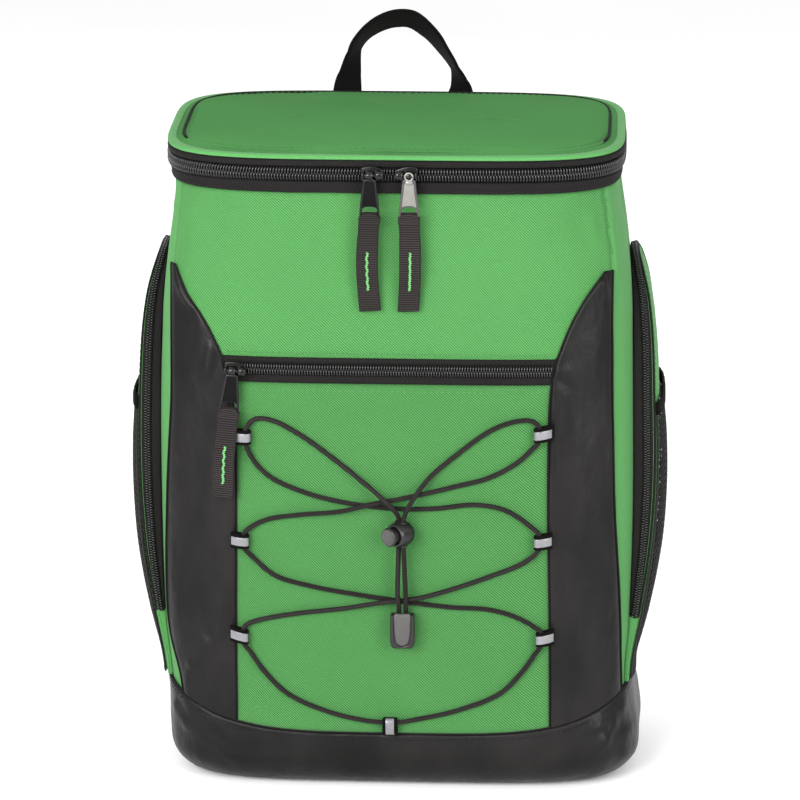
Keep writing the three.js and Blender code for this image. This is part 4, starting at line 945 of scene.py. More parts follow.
BASE_FOLDS = [
    (-148.5, 49.8, -138.3, 36.0, 1.3, 4.0), (-127.3, 33.2, -103.4, 18.4, 1.0, 5.0),
    (147.8, 55.3, 129.4, 42.4, 1.2, 4.0), (150.0, 52.2, 134.2, 27.0, 1.2, 4.0),
    (133.3, 66.5, 154.8, 40.2, -0.9, 3.5), (136.3, 37.5, 157.7, 15.3, 1.0, 5.0),
    (-60, 30, 20, 26, 0.5, 9), (40, 24, 95, 32, 0.5, 8),
]


BASE_ROWS, BASE_GAP = 35, 0.35


def base():
    """The coated cover of the bottom, with its seam."""
    turn = np.linspace(0, np.pi / 2, 15)
    radius = BOTTOM_ROUND + BOOT_OUT
    top = seam(CX)[None] - SEAT
    up = np.linspace(0, 1, BASE_ROWS + 1)[1:, None]
    rounding = np.broadcast_to((ROUND_CENTRE - radius * np.cos(turn))[:, None], (len(turn), ROUND))
    s = np.concatenate([rounding, mix(ROUND_CENTRE, top, up)])
    off = np.concatenate([BOOT_OUT - radius * (1 - np.sin(turn)), np.full(BASE_ROWS, BOOT_OUT)])[:, None]
    p = skin(CX[None], SY[None], s, off)
    below = top - s
    soft = 0.55 * uneven(p, 40, 1.7) + 0.28 * uneven(p, 13, 2.9, (2.2, 2.2, 0.9))
    soft += np.where(SY[None] < 0, folds(BASE_FOLDS, p[..., 0], p[..., 2]), 0)
    corners = np.abs(CX * SY)[None] ** 6 * 14
    soft += 0.5 * corners * uneven(p, 12, 4.4, (1, 1, 1.6)) * ease(s / 30)
    soft *= ease(s / 26) * ease(below / 9)
    off = off - 1.1 * (1 - bead(below, 2.2)) * (s > ROUND_CENTRE) + soft
    rows = skin(CX[None], SY[None], np.maximum(s, 0), off)
    rows[..., 2] = np.maximum(rows[..., 2], 0)
    form = Shape()
    outer, uv = form.grid(rows, True)
    form.fan(outer[0], rows[0].mean(0))
    # the inside of the cover
    under_s = np.concatenate([top, mix(ROUND_CENTRE, top, 0.5), np.full((1, ROUND), ROUND_CENTRE)])
    under_rows = skin(CX[None], SY[None], under_s, np.full((3, 1), SEAT + BASE_GAP))
    turn = np.linspace(np.pi / 2, 0, 6)[1:, None]
    inner_radius = BOTTOM_ROUND + SEAT
    bottom = skin(CX[None], SY[None], ROUND_CENTRE - inner_radius * np.cos(turn),
                  SEAT - inner_radius * (1 - np.sin(turn)))
    under_rows = np.concatenate([under_rows, bottom])
    under, _ = form.grid(under_rows, True)
    form.join(outer[-1], under[0], uv[-1])
    form.fan(under[-1], under_rows[-1].mean(0))
    piece("base_cover", form, pu, "charcoal_coated", stands_for="base_boot")
    line, _ = round_line(CX, SY, seam(CX) + 0.25, 1.0)
    form = Shape()
    form.tube(np.vstack([line, line[:1]]), 0.75, 6)
    piece("base_seam_cord", form, binding, "black_webbing")
    form = Shape()
    stitches(form, *round_line(CX, SY, seam(CX) - 4.2, BOOT_OUT))
    piece("base_stitches", form, black_thread, "charcoal_coated")


base()


# front
WING_TIP = 0.868 * BODY_HEIGHT
WING_COLS, WING_ROWS = 29, 130
WING_EDGE, WING_SWELL, WING_ROUND = 0.35, 1.0, 2.4
WING_FOLDS = {
    1: [(134.4, 348.2, 139.8, 336.8, 0.8, 2.6), (129.0, 349.9, 113.9, 318.3, 0.9, 3.2),
        (113.9, 318.3, 108.6, 299.9, 0.9, 3.0), (104.2, 286.2, 114.0, 288.6, 0.8, 2.2),
        (105.5, 284.8, 114.1, 277.6, -0.8, 2.2), (104.9, 280.6, 102.6, 233.0, 0.9, 3.0),
        (102.6, 233.0, 106.7, 220.3, 0.7, 2.6), (103.0, 184.4, 109.6, 187.0, -0.7, 2.4),
        (118, 250, 124, 170, 0.5, 5), (112, 140, 124, 92, 0.6, 5)],
    -1: [(-118.6, 302.4, -122.9, 284.0, 0.9, 3.4), (-144.7, 342.3, -132.8, 327.7, 0.7, 3.0),
         (-143.8, 61.5, -136.3, 81.6, 0.8, 3.0), (-136.3, 81.6, -124.2, 100.9, 0.9, 3.4),
         (-116, 240, -122, 165, 0.5, 5), (-112, 130, -122, 84, 0.5, 5)],
}


def wing(side, name):
    """A coated wing beside the front pocket."""
    u = np.linspace(0, 1, WING_COLS)[None]
    v = np.linspace(0, 1, WING_ROWS)[:, None]
    s = mix(SEAM_FRONT, WING_TIP, v - 0.1 * np.sin(2 * np.pi * v))
    outer_edge = corner(side, s)
    wide = np.maximum(2.5, np.abs(outer_edge - inner(side, s)))
    x = outer_edge - side * wide * (1 - u)
    raised = s + (seam_at(x) - SEAM_FRONT) * (1 - v) ** 4
    x = x * mix(1, half_width(raised, side > 0) / half_width(s, side > 0), u)
    raised = s + (seam_at(x) + 0.1 - SEAM_FRONT) * (1 - v) ** 4
    low = front(x, raised, LAYER_GAP)
    near = np.minimum(np.minimum(u, 1 - u) * wide, (1 - v) * 300)
    wave = 0.5 * uneven(low, 24, 7.7 * side, (0.7, 1, 2.0)) + 0.22 * uneven(low, 9, 3.1, (0.8, 1, 1.7))
    wave = wave + 1.5 * folds(WING_FOLDS[side], low[..., 0], low[..., 2])
    off = LAYER_GAP + WING_EDGE + WING_SWELL * bead(near, WING_ROUND) + wave * ease(near / 5)
    form = Shape()
    form.sheet(front(x, raised, np.maximum(off, LAYER_GAP + 0.3)), low)
    piece(f"wing_cover_{name}", form, pu, "charcoal_coated", stands_for=f"wing_{name}")
    edges = Shape()
    for col, shift in ((0, -0.25), (-1, 0.3)):
        line = front(x[:, col] + side * shift, raised[:, col], LAYER_GAP + 0.55)
        edges.tube(even(line, 2.5), 0.6, 6)
    piece(f"wing_seam_{name}", edges, binding, "black_webbing")


def between(s, u, gap=EDGE_GAP):
    return mix(inner(-1, s) + gap, inner(1, s) - gap, u)


def front_line(s, u, off, gap=EDGE_GAP):
    """A level line across the front between the wings, and its outward directions."""
    s = np.full(len(u), s)
    at, beyond = (front(between(s, u, gap), s, k) for k in (off, off + 1))
    return at, unit(beyond - at)


ZIP_LOW = POCKET_ZIP_TOP - POCKET_TAPE
POCKET_COIL_LOW = ZIP_LOW + (POCKET_TAPE - POCKET_COIL) * 0.6
COIL_OFF = LAYER_GAP + CLOTH + SEAT
POCKET_COLS, POCKET_ROWS, LINE_STEPS = 101, 111, 240
SMALL_PITCH, LID_PITCH, COIL_WIRE = 1.75, 1.9, 0.52
# length, gap, radius and height of the stitches along a tape
TAPE_STITCH = (2.2, 1.1, 0.26, 0.05)


def pocket():
    """The front pocket: its panel, its zip and their stitches."""
    u = np.linspace(0, 1, POCKET_COLS)[None]
    v = np.linspace(0, 1, POCKET_ROWS)[:, None]
    s = mix(SEAM_FRONT, ZIP_LOW - SEAT, v)
    x = between(s, u)
    s = s + (seam_at(x) + LAYER_GAP - SEAM_FRONT) * (1 - v) ** 3
    low = front(x, s, LAYER_GAP)
    near = np.minimum(np.minimum(u, 1 - u) * 205, np.minimum((1 - v) * 238, v * 238))
    pad = 0.7 + 1.9 * bead(near, 8.0)
    soft = (0.30 * uneven(low, 55, 2.2) + 0.10 * uneven(low, 18, 6.1)) * ease(near / 14) - 0.1
    form = Shape()
    form.sheet(front(x, s, LAYER_GAP + pad + soft), low)
    # the pocket's cloth takes the darker copy of the green: painted shade low on the front
    piece("pocket_front", form, green_pocket_shaded, "green_fabric", stands_for="front_pocket_panel")

    v = np.linspace(0, 1, 15)[:, None]
    s = mix(ZIP_LOW, POCKET_ZIP_TOP, v)
    x = between(s, u)
    low = front(x, s, LAYER_GAP)
    pad = 0.35 + 0.95 * bead(np.minimum(v, 1 - v) * POCKET_TAPE, 1.3)
    pad = pad - 0.25 * np.exp(-(((v - 0.6) * POCKET_TAPE / 3.4) ** 2))
    form = Shape()
    form.sheet(front(x, s, LAYER_GAP + pad), low)
    piece("pocket_tape", form, tape_black, "black_webbing", stands_for="pocket_zip_tape")

    mid = POCKET_COIL_LOW + POCKET_COIL / 2
    line, out = front_line(mid, np.linspace(0, 1, LINE_STEPS), COIL_OFF - 0.5, EDGE_GAP + 1)
    form = Shape()
    coil(form, line, out, POCKET_COIL / 2 - 0.4, POCKET_COIL_PROUD + 0.1, SMALL_PITCH, COIL_WIRE)
    piece("pocket_teeth", form, coil_look, "zip_coil", stands_for="pocket_zip_coil")

    t = np.linspace(0.02, 0.98, LINE_STEPS)
    for name, s, high in (("above", POCKET_ZIP_TOP + 2.6, 0.25),
                          ("below", ZIP_LOW - 4.6, LAYER_GAP + PANEL_PAD - 0.55)):
        form = Shape()
        stitches(form, *front_line(s, t, high))
        piece(f"pocket_stitches_{name}", form, green_stitch, "green_fabric")
    form = Shape()
    for s in (ZIP_LOW + 2.0, POCKET_ZIP_TOP - 1.8):
        stitches(form, *front_line(s, t, LAYER_GAP + CLOTH), *TAPE_STITCH)
    piece("pocket_tape_stitches", form, black_thread, "black_webbing")


wing(-1, "left")
wing(1, "right")
pocket()

# lid zip and lid
BAND_INNER = -WALL + 1.5


def lid_zip():
    """The band round the lid: tapes, teeth and the hinge at the back."""
    for name, low, high, outside, seed in (
        ("lower", BAND_LOW, COIL_LOW - SEAT, BAND_PROUD, 0.0),
        ("upper", TAPE_HIGH, LID_LOW - SEAT, BAND_PROUD + 0.2, 4.0),
    ):
        form = Shape()
        band(form, rounded(low, high, BAND_INNER, outside, 1.0), CX, SY, wobble=0.12, seed=seed)
        piece(f"band_{name}", form, tape_black, "black_webbing", stands_for=f"zip_tape_{name}")
    profile = rounded(COIL_LOW, TAPE_HIGH - SEAT, BAND_INNER + 1, BAND_PROUD - 0.4, 0.9)
    form = Shape()
    band(form, profile, *plan_part(45.4, 134.6, 150), False)
    piece("hinge_cloth", form, webbing, "black_webbing", stands_for="lid_hinge")
    round_x, round_y = plan_part(135, 405, 420)
    profile = rounded(COIL_LOW + 0.2, TAPE_HIGH - SEAT - 0.2, BAND_INNER + 1, BAND_PROUD - 1.2, 0.5)
    form = Shape()
    band(form, profile, round_x, round_y, False, look=1)
    line, out = round_line(round_x, round_y, (COIL_LOW + TAPE_HIGH - SEAT) / 2, BAND_PROUD - 1.3)
    coil(form, line, out, COIL / 2 - 0.45, COIL_PROUD - BAND_PROUD + 1.3, LID_PITCH, COIL_WIRE)
    piece("lid_teeth", form, [coil_look, tape_black], "zip_coil", stands_for="lid_zip_coil")
    form = Shape()
    for s, off in ((BAND_LOW + 1.7, 0), (COIL_LOW - 2.2, 0), (LID_LOW - 2.3, 0.2)):
        stitches(form, *round_line(CX, SY, s, BAND_PROUD + off), *TAPE_STITCH)
    piece("band_stitches", form, black_thread, "black_webbing")


LID = [(0.6, 0.0), (1.9, 0.45), (2.2, 1.05), (2.1, 1.9), (1.2, 2.75), (-0.3, 3.05), (-2.4, 2.7),
       (-4.6, 2.85), (-9, 3.9), (-14, 5.31), (-23, 6.6), (-34, 7.51), (-47, 8.1), (-60, 8.5)]


def lid_high(off):
    rows = np.array(LID[5:])[::-1]
    return np.interp(off, rows[:, 0], rows[:, 1])


def lid_point(cx, sy, off, high):
    flat = skin(cx, sy, np.float64(LID_LOW), off)
    y = flat[..., 1]
    return stack(flat[..., 0], y, LID_LOW + high + lift(y, LID_LOW))


def lid():
    rows = np.array(LID)
    line = spline(np.column_stack([rows, np.zeros(len(rows))]), 4)[:, :2]
    p = lid_point(CX[None], SY[None], line[:, :1], line[:, 1:])
    last = p[-1]
    pole = np.array([0, 0, 0.0])
    more = []
    for k in np.linspace(0, 1, 12)[1:-1]:
        ring = mix(last, pole, k)
        ring[:, 2] = LID_LOW + mix(8.5, 8.7, k) + lift(ring[:, 1], LID_LOW)
        more.append(ring)
    p = np.concatenate([p, np.array(more)])
    share = np.concatenate([ease((1.0 - line[:, 0]) / 12), np.ones(len(more))])[:, None]
    p[..., 2] += share * (0.7 * uneven(p, 70, 8.8) + 0.3 * uneven(p, 26, 4.7))
    form = Shape()
    # rows of the rolled rim take the lighter copy of the green: painted light on the rim
    rim = np.concatenate([line[:, 0] > -3.2, np.zeros(len(more), bool)])[:-1]
    index, uv = form.grid(p, True, np.repeat(rim.astype(int), ROUND).reshape(-1, ROUND))
    top = p[-1].mean(0)
    form.fan(index[-1], top)
    under = lid_point(CX[None], SY[None], np.array([[0.0], [-20.0]]), np.array([[0.0], [0.3]]))
    low, _ = form.grid(under[::-1], True)
    form.join(index[0], low[-1], uv[0])
    form.fan(low[0], under[1].mean(0))
    # the rest of the lid takes the darker copy of the green: painted shade on its top
    piece("lid_cover", form, [green_lid_shaded, green_rim_lit], "green_fabric", stands_for="lid_top")

    off = -PIPING_INSET - 1.1
    line = lid_point(CX, SY, np.full(ROUND, off), lid_high(off) + 0.35)
    ahead = ease((-SY - 0.62) / 0.08)
    radius = mix(1.0, 0.35, ahead)
    line[:, 2] -= 0.45 * ahead
    around = np.vstack([line, line[:1]])
    form = Shape()
    form.tube(around, np.append(radius, radius[0]), 8, look=0)
    looks = (np.append(ahead, ahead[0])[:-1] > 0.5).astype(int)
    form.looks[0] = np.repeat(looks, 8)
    piece("lid_seam", form, [binding, lid_thread], "black_webbing", stands_for="lid_piping")

    form = Shape()
    for off in (-3.4, -PIPING_INSET - 4.2):
        at, above = (lid_point(CX, SY, np.full(ROUND, off), np.full(ROUND, lid_high(off) + k))
                     for k in (0.12, 1.12))
        stitches(form, at, above - at, radius=0.26, proud=0.02)
    piece("lid_stitches", form, lid_thread, "green_fabric")


lid_zip()
lid()


# zip sliders, pulls and ribbons
SLIDER_WIDTH, SLIDER_THICK = 9, 3.6
BAR_RADIUS, EYE_CLEARANCE, EYE_WALL = 0.9, 0.35, 1.0
PULL_LENGTH, PULL_THICK = 28, 1.8
RIBBON_WIDTH, RIBBON_THICK, RIB = 14, 1.4, 1.55
EYE_INNER = BAR_RADIUS + EYE_CLEARANCE
EYE_OUTER = EYE_INNER + EYE_WALL
BAR_STANDOFF = SLIDER_THICK / 2 + EYE_OUTER + EYE_CLEARANCE
# the slider's outline, as shares of its half length and half height
SLIDER_HALF, SLIDER_HIGH, SLIDER_SHIFT = 7.0, 4.9, 1.6
SLIDER_OUTLINE = [
    (0.6, 0.8), (0.95, 0.55), (1, 0), (0.95, -0.55), (0.6, -0.8), (0, -1),
    (-0.6, -0.96), (-0.97, -0.8), (-1, 0), (-0.97, 0.8), (-0.6, 0.96), (0, 1),
]
# the right half of the pull's outline, from its eye down
TAB_OUTLINE = [
    (2.0, -2.3), (3.9, -2.8), (4.5, -5.0), (5.0, -10), (5.75, -16), (6.35, -21.5),
    (6.6, -25.0), (6.3, -27.2), (4.9, -28.2), (2.2, -28.3),
]


def rim_steps(thick, edge):
    """A rounded rim in section: how far in, and how far from the middle plane."""
    steps = np.linspace(0, np.pi / 2, 4)
    return [(edge * (1 - math.sin(t)), thick / 2 - edge + edge * math.cos(t)) for t in steps]


def levels_of(outline, profile):
    """A closed (x, z) outline moved inwards and along y, once for each step of a profile."""
    rows = []
    for by, y in profile:
        ring = inset(outline, by)
        rows.append(np.stack([ring[:, 0], np.full(len(ring), -y), ring[:, 1]], -1))
    return rows


def plate(shape, outline, thick, edge, place_at):
    """A flat form with rounded edges, its thickness along y."""
    rim = rim_steps(thick, edge)
    rows = place_at(np.array(levels_of(outline, rim + [(a, -b) for a, b in reversed(rim)])))
    index, uv = shape.grid(rows, True)
    for row in (0, -1):
        shape.fan(index[row], rows[row].mean(0), uv[row, 0])


def flat_ring(shape, outer, hole, thick, edge, place_at, look=0):
    """A plate with a hole: both outlines have as many points, matched one to one."""
    rim = rim_steps(thick, edge)
    under = [(a, -b) for a, b in rim]
    rows = levels_of(outer, [*reversed(rim), *under])
    rows += levels_of(hole, [(-a, b) for a, b in (*reversed(under), *rim)])
    rows = np.array(rows[len(rim):] + rows[:len(rim)])
    index, uv = shape.grid(place_at(rows), True, look)
    shape.join(index[-1], index[0], uv[-1], look)


def around_bar(shape, radius_in, radius_out, width, place_at, look=0, sides=24):
    """A ring turned round the X axis, with rounded rims."""
    edge, far = 0.3, width / 2
    near = far - edge
    profile = [
        (radius_out - edge, far), (radius_out, near), (radius_out, -near), (radius_out - edge, -far),
        (radius_in + edge, -far), (radius_in, -near), (radius_in, near), (radius_in + edge, far),
    ]
    turn = full_turn(sides)
    rows = np.array([[(x, r * math.cos(t), r * math.sin(t)) for r, x in profile] for t in turn])
    shape.rings(place_at(rows), look, closed=True)


def knob(shape, centre, size, place_at, look=0, power=3.0, rings=9, sides=20):
    """A rounded block: a superellipsoid."""
    lat = np.linspace(-np.pi / 2, np.pi / 2, rings)[1:-1]
    lon = full_turn(sides)
    sign_power = lambda v: np.sign(v) * np.abs(v) ** (2 / power)
    rows = np.stack([
        sign_power(np.cos(lat))[:, None] * sign_power(np.cos(lon)) * size[0] / 2,
        np.broadcast_to((sign_power(np.sin(lat)) * size[1] / 2)[:, None], (len(lat), sides)),
        sign_power(np.cos(lat))[:, None] * sign_power(np.sin(lon)) * size[2] / 2,
    ], -1) + np.array(centre)
    top, bottom = (place_at(np.array([[centre[0], centre[1] + k * size[1] / 2, centre[2]]]))[0]
                   for k in (1, -1))
    index, uv = shape.grid(place_at(rows), True, look)
    for row, pole in ((0, bottom), (-1, top)):
        start = len(shape.looks)
        shape.fan(index[row], pole, uv[row, 0])
        shape.looks[start] = np.full(sides, look)


def mirrored(points, low=(), high=()):
    """A closed outline from its right half, top to bottom, with points on the middle line."""
    return [*points, *low, *((-x, z) for x, z in reversed(points)), *high]


def wire(outline, radius, half_thick):
    """Rings of a closed wire along a flat outline."""
    rim = np.stack([outline[:, 0], np.zeros(len(outline)), outline[:, 1]], -1)
    along = unit(np.roll(rim, -1, 0) - np.roll(rim, 1, 0))
    outwards = np.cross(along, REAR)[:, None]
    turn = full_turn(10)[:, None]
    return rim[:, None] + outwards * np.cos(turn) * radius + np.array(REAR) * np.sin(turn) * half_thick


def slider(name, facing, in_holder):
    """A zip's slider, with the bridge that its pull hangs on."""
    form = Shape()
    outline = smooth_outline([(x * SLIDER_HALF, z * SLIDER_HIGH) for x, z in SLIDER_OUTLINE])
    outline = outline * np.array([facing, 1]) + np.array([facing * SLIDER_SHIFT, 0])
    plate(form, outline, 2.3, 0.7, lambda p: in_holder(p + np.array([0, SLIDER_THICK / 2 - 1.15, 0])))
    bridge = -BAR_STANDOFF
    knob(form, (facing * 6.3, bridge, 0.1), (6.2, 5.0, 5.1), in_holder, power=2.8, rings=13, sides=28)
    knob(form, (-facing * 4.4, bridge, 0.2), (2.0, 4.4, 4.4), in_holder, power=2.5)
    for side, wide in ((facing * 5.6, 3.6), (-facing * 4.3, 1.6)):
        knob(form, (side, bridge / 2 - 0.2, 0.1), (wide, -bridge + 1.2, 3.9), in_holder, power=4)
    bar = np.array([[(facing * k, bridge, 0)] for k in (-4.2, 4.6)], float)
    turn = full_turn(16)
    form.rings(in_holder(bar + stack(0, BAR_RADIUS * np.cos(turn), BAR_RADIUS * np.sin(turn))[None]))
    piece(f"{name}_slider_body", form, black_gloss, "black_metal", stands_for=f"{name}_slider", sharp=50)


def tab_hole(outline):
    """The opening for the ribbon, with a point for each point of the outline."""
    low, high, half = -PULL_LENGTH + 2, -PULL_LENGTH + 7.4, 5.4
    middle = low + 2.2
    turn = np.arctan2(outline[:, 1] - middle, outline[:, 0])
    c, s = np.cos(turn), np.sin(turn)
    upper = (np.abs(c / half) ** 2.2 + np.abs(s / (high - middle)) ** 2.2) ** (-1 / 2.2)
    lower = (np.abs(c / half) ** 5 + np.abs(s / (middle - low)) ** 5) ** (-1 / 5)
    r = np.where(s > 0, upper, lower)
    return np.column_stack([r * c, middle + r * s])


def pull_tab(name, steel, facing, hanging):
    """The plated pull, with an eye above and a hole below."""
    form = Shape()
    outline = smooth_outline(mirrored(TAB_OUTLINE), 5)
    hole = tab_hole(outline)
    flat_ring(form, inset(outline, 0.5), hole, 1.15, 0.2, hanging, look=1)
    form.rings(hanging(wire(inset(outline, 0.9), 0.85, PULL_THICK / 2)), closed=True)
    form.rings(hanging(wire(inset(hole, -0.35), 0.45, 0.8)), closed=True)
    neck = np.array([(0, 0, k) for k in (-1.4, -2.0, -2.8, -3.8)], float)
    widths = np.array([0.60, 0.70, 0.95, 1.0])
    profile = section(6.4, 1.7, 0.7, 4, 4)[None] * np.stack([widths, np.ones(4)], -1)[:, None]
    form.rings(hanging(swept(neck, same(RIGHT, 4), same(REAR, 4), profile)))
    around_bar(form, EYE_INNER, EYE_OUTER + 0.1, 4.6,
               lambda p: hanging(p - np.array([facing * 0.1, 0, 0])), look=2)
    looks = [black_gloss, black_panel, black_gloss]
    if steel:
        looks = [gunmetal_dark, gunmetal, black_gloss]
        t, a = full_turn(28)[:, None], full_turn(8)
        reach = 2.52 + 0.58 * np.cos(a)
        ring = stack(reach * np.cos(t), -2.1 + 0.42 * np.sin(a), -0.3 + reach * np.sin(t))
        form.rings(hanging(ring), 1, closed=True)
        knob(form, (0, -1.5, -4.2), (5.2, 1.9, 3.0), hanging, look=1)
    slot = "gunmetal" if steel else "black_metal"
    piece(f"{name}_tab", form, looks, slot, f"{name}_pull", f"{name}_pull", sharp=50)


def ribbon_sag(share, across):
    """How far a ribbon stands off its plane, with across from -1 to 1 over its width."""
    wave = 0.35 * np.sin(2 * np.pi * share * 1.4 + 0.8) * ease(share * 4)
    return -1.2 * np.sin(np.pi * share) + wave + 0.35 * np.sin(3.0 * np.pi * share) * across**2


def ribbon(name, length, bend, lean_by, hanging):
    """The webbing through a pull, with its fold and its stitch."""
    low = -PULL_LENGTH - SEAT
    aside = lambda k: bend[0] * np.sin(np.pi * k) + bend[1] * k**2
    v = np.arange(0, length + 0.01, 0.36)[:, None]
    share = v / length
    u = np.linspace(-1, 1, 15)[None]
    half_wide = RIBBON_WIDTH / 2 - 0.35 * np.exp(-((v - 9) / 6) ** 2)
    ribs = 0.08 * np.cos(2 * np.pi * v / RIB)
    thick = (RIBBON_THICK - 0.25 + ribs) * (1 - 0.5 * np.abs(u) ** 8)
    x, y = u * half_wide + aside(share), ribbon_sag(share, u)
    z = low - v + bend[2] * share**3 * u
    form = Shape()
    form.sheet(hanging(stack(x, y - thick, z)), hanging(stack(x, y + thick, z)))
    # the fold round the bar of the pull
    neck, bar_mid = 5.0, -PULL_LENGTH + 1
    reach = PULL_THICK / 2 + SEAT + RIBBON_THICK / 2
    rise = [(0.75, low - 3.2), (1.3, low - 1.6), (reach, low + 0.4), (reach, bar_mid + 0.3)]
    over = [(-reach * math.cos(t), bar_mid + 0.75 + 1.25 * math.sin(t))
            for t in np.linspace(0.2, np.pi - 0.2, 7)]
    fold = spline([(0, y, z) for y, z in [(-y, z) for y, z in rise] + over + rise[::-1]], 5)
    right = same(RIGHT, len(fold))
    outwards = np.cross(right, unit(np.gradient(fold, axis=0)))
    half_thick = RIBBON_THICK / 2 - 0.08 + 0.1 * np.cos(2 * np.pi * run_along(fold) / RIB)
    flare = mix(RIBBON_WIDTH / 2 / neck, 1.0, ease((fold[:, 2] - low - 0.4) / 2.2))
    profile = section(2 * neck, 1.0, 0.4, 3, 8)[None] * np.stack([flare, 2 * half_thick], -1)[:, None]
    form.rings(hanging(swept(fold, right, outwards, profile)))
    body = f"{name}_pull"
    piece(f"{name}_ribbon_cloth", form, grosgrain, "black_webbing", body, f"{name}_ribbon")

    # the sewn zigzag
    turns = 34
    k = np.arange(turns + 1)
    swing = np.where(k % 2, 0.62, -0.62) * (1 + lean_by * np.sin(k * 2.3)) + lean_by * np.sin(k * 0.9)
    line = spline(np.column_stack([swing, -50.5 - 25.5 * k / turns, 0 * k]), 4)[:, :2]
    share = (low - line[:, 1]) / length
    y = ribbon_sag(share, line[:, 0] / (RIBBON_WIDTH / 2)) - RIBBON_THICK - 0.12
    form = Shape()
    form.tube(hanging(stack(line[:, 0] + aside(share), y, line[:, 1])), 0.4, 6)
    piece(f"{name}_ribbon_stitch", form, green_thread, "green_fabric", body)


def zip_pull(name, x, s, proud, length, tilt, lean, steel, facing, bend):
    home = front(x, s, proud + SEAT + SLIDER_THICK / 2)
    tilt, lean = math.radians(tilt), math.radians(lean)

    def in_holder(p):
        turned_x = p[..., 0] * math.cos(tilt) + p[..., 2] * math.sin(tilt)
        turned_z = -p[..., 0] * math.sin(tilt) + p[..., 2] * math.cos(tilt)
        return stack(turned_x, p[..., 1], turned_z) + home

    def hanging(p):
        y = p[..., 1] * math.cos(lean) - p[..., 2] * math.sin(lean)
        z = p[..., 1] * math.sin(lean) + p[..., 2] * math.cos(lean)
        return in_holder(stack(p[..., 0], y - BAR_STANDOFF, z))

    slider(name, facing, in_holder)
    pull_tab(name, steel, facing, hanging)
    ribbon(name, length, bend, 0.12 if steel else 0.25, hanging)


RIBBON_LENGTH, POCKET_RIBBON_LENGTH = 62, 57
slider_height = COIL_LOW + COIL * 0.62
zip_pull("lid_left", -15.2, slider_height, COIL_PROUD, RIBBON_LENGTH, 0, 3.2, False, 1, (-1.7, 0.2, 0.5))
zip_pull("lid_right", 10.2, slider_height, COIL_PROUD, RIBBON_LENGTH, 0, 3.2, True, -1, (0.9, -0.6, 0.2))
pocket_height = POCKET_COIL_LOW + POCKET_COIL / 2
zip_pull("pocket", float(inner(-1, pocket_height)) + SLIDER_WIDTH / 2 + 1, pocket_height,
         COIL_OFF + POCKET_COIL_PROUD, POCKET_RIBBON_LENGTH, 5, 0, False, 1, (-0.8, 0.6, 0.3))


# side pockets
def swell(s):
    return SIDE_BULGE * read(SIDE, 1, np.asarray(s, float) / BODY_HEIGHT)


def arch_path(t):
    straight = ARCH_SPRING - SIDE_ZIP_END
    bow = (math.pi / 2) * ((ARCH_HALF + ARCH_TOP - ARCH_SPRING) / 2)
    run = t * 2 * (straight + bow)
    mirror = run > straight + bow
    along = 2 * (straight + bow) - run if mirror else run
    if along < straight:
        return (ARCH_HALF if mirror else -ARCH_HALF), SIDE_ZIP_END + along
    turn = min(1, (along - straight) / bow) * math.pi / 2
    y = ARCH_HALF * max(0, math.cos(turn)) ** (2 / ARCH_POWER)
    return (y if mirror else -y), ARCH_SPRING + (ARCH_TOP - ARCH_SPRING) * math.sin(turn) ** (2 / ARCH_POWER)


def arch_half(s):
    q = np.clip((np.asarray(s, float) - ARCH_SPRING) / (ARCH_TOP - ARCH_SPRING), 0, 1)
    return ARCH_HALF * np.maximum(0, 1 - q**ARCH_POWER) ** (1 / ARCH_POWER)


def arch_line(count=260):
    """The zip's path in the flank, evenly spaced, with its outward directions."""
    rough = np.array([arch_path(t) for t in np.linspace(0, 1, 1201)])
    run = run_along(rough)
    at = np.linspace(0, run[-1], count)
    p = np.stack([np.interp(at, run, rough[:, k]) for k in range(2)], 1)
    along = unit(np.gradient(p, axis=0))
    return p, np.column_stack([-along[:, 1], along[:, 0]])


def panel_off(y, s):
    half = np.maximum(1, arch_half(s))
    crown = SIDE_CROWN * np.maximum(0, 1 - (y / half) ** 2)
    crown = crown * np.clip((ARCH_TOP - s) / 30, 0, 1) * np.clip((s - SEAM_SIDE) / 60, 0, 1)
    return LAYER_GAP + swell(s) + crown


def net_off(y, s):
    across = np.maximum(0, 1 - (y / ARCH_HALF) ** 2) ** 0.75
    ground = panel_off(y, s) + SIDE_CLOTH + SEAT
    slack = np.maximum(0.2, NET_BULGE * read(SIDE, 2, s / BODY_HEIGHT) - ground)
    return ground + slack * across * ease((s - SEAM_SIDE + 6) / 30)


SIDE_COLS, SIDE_ROWS = 51, 111
NET_STAND, NET_STRAND, NET_EDGE, NET_PITCH, NET_SLOPE = 0.65, 0.34, 0.8, 4.4, 1.25


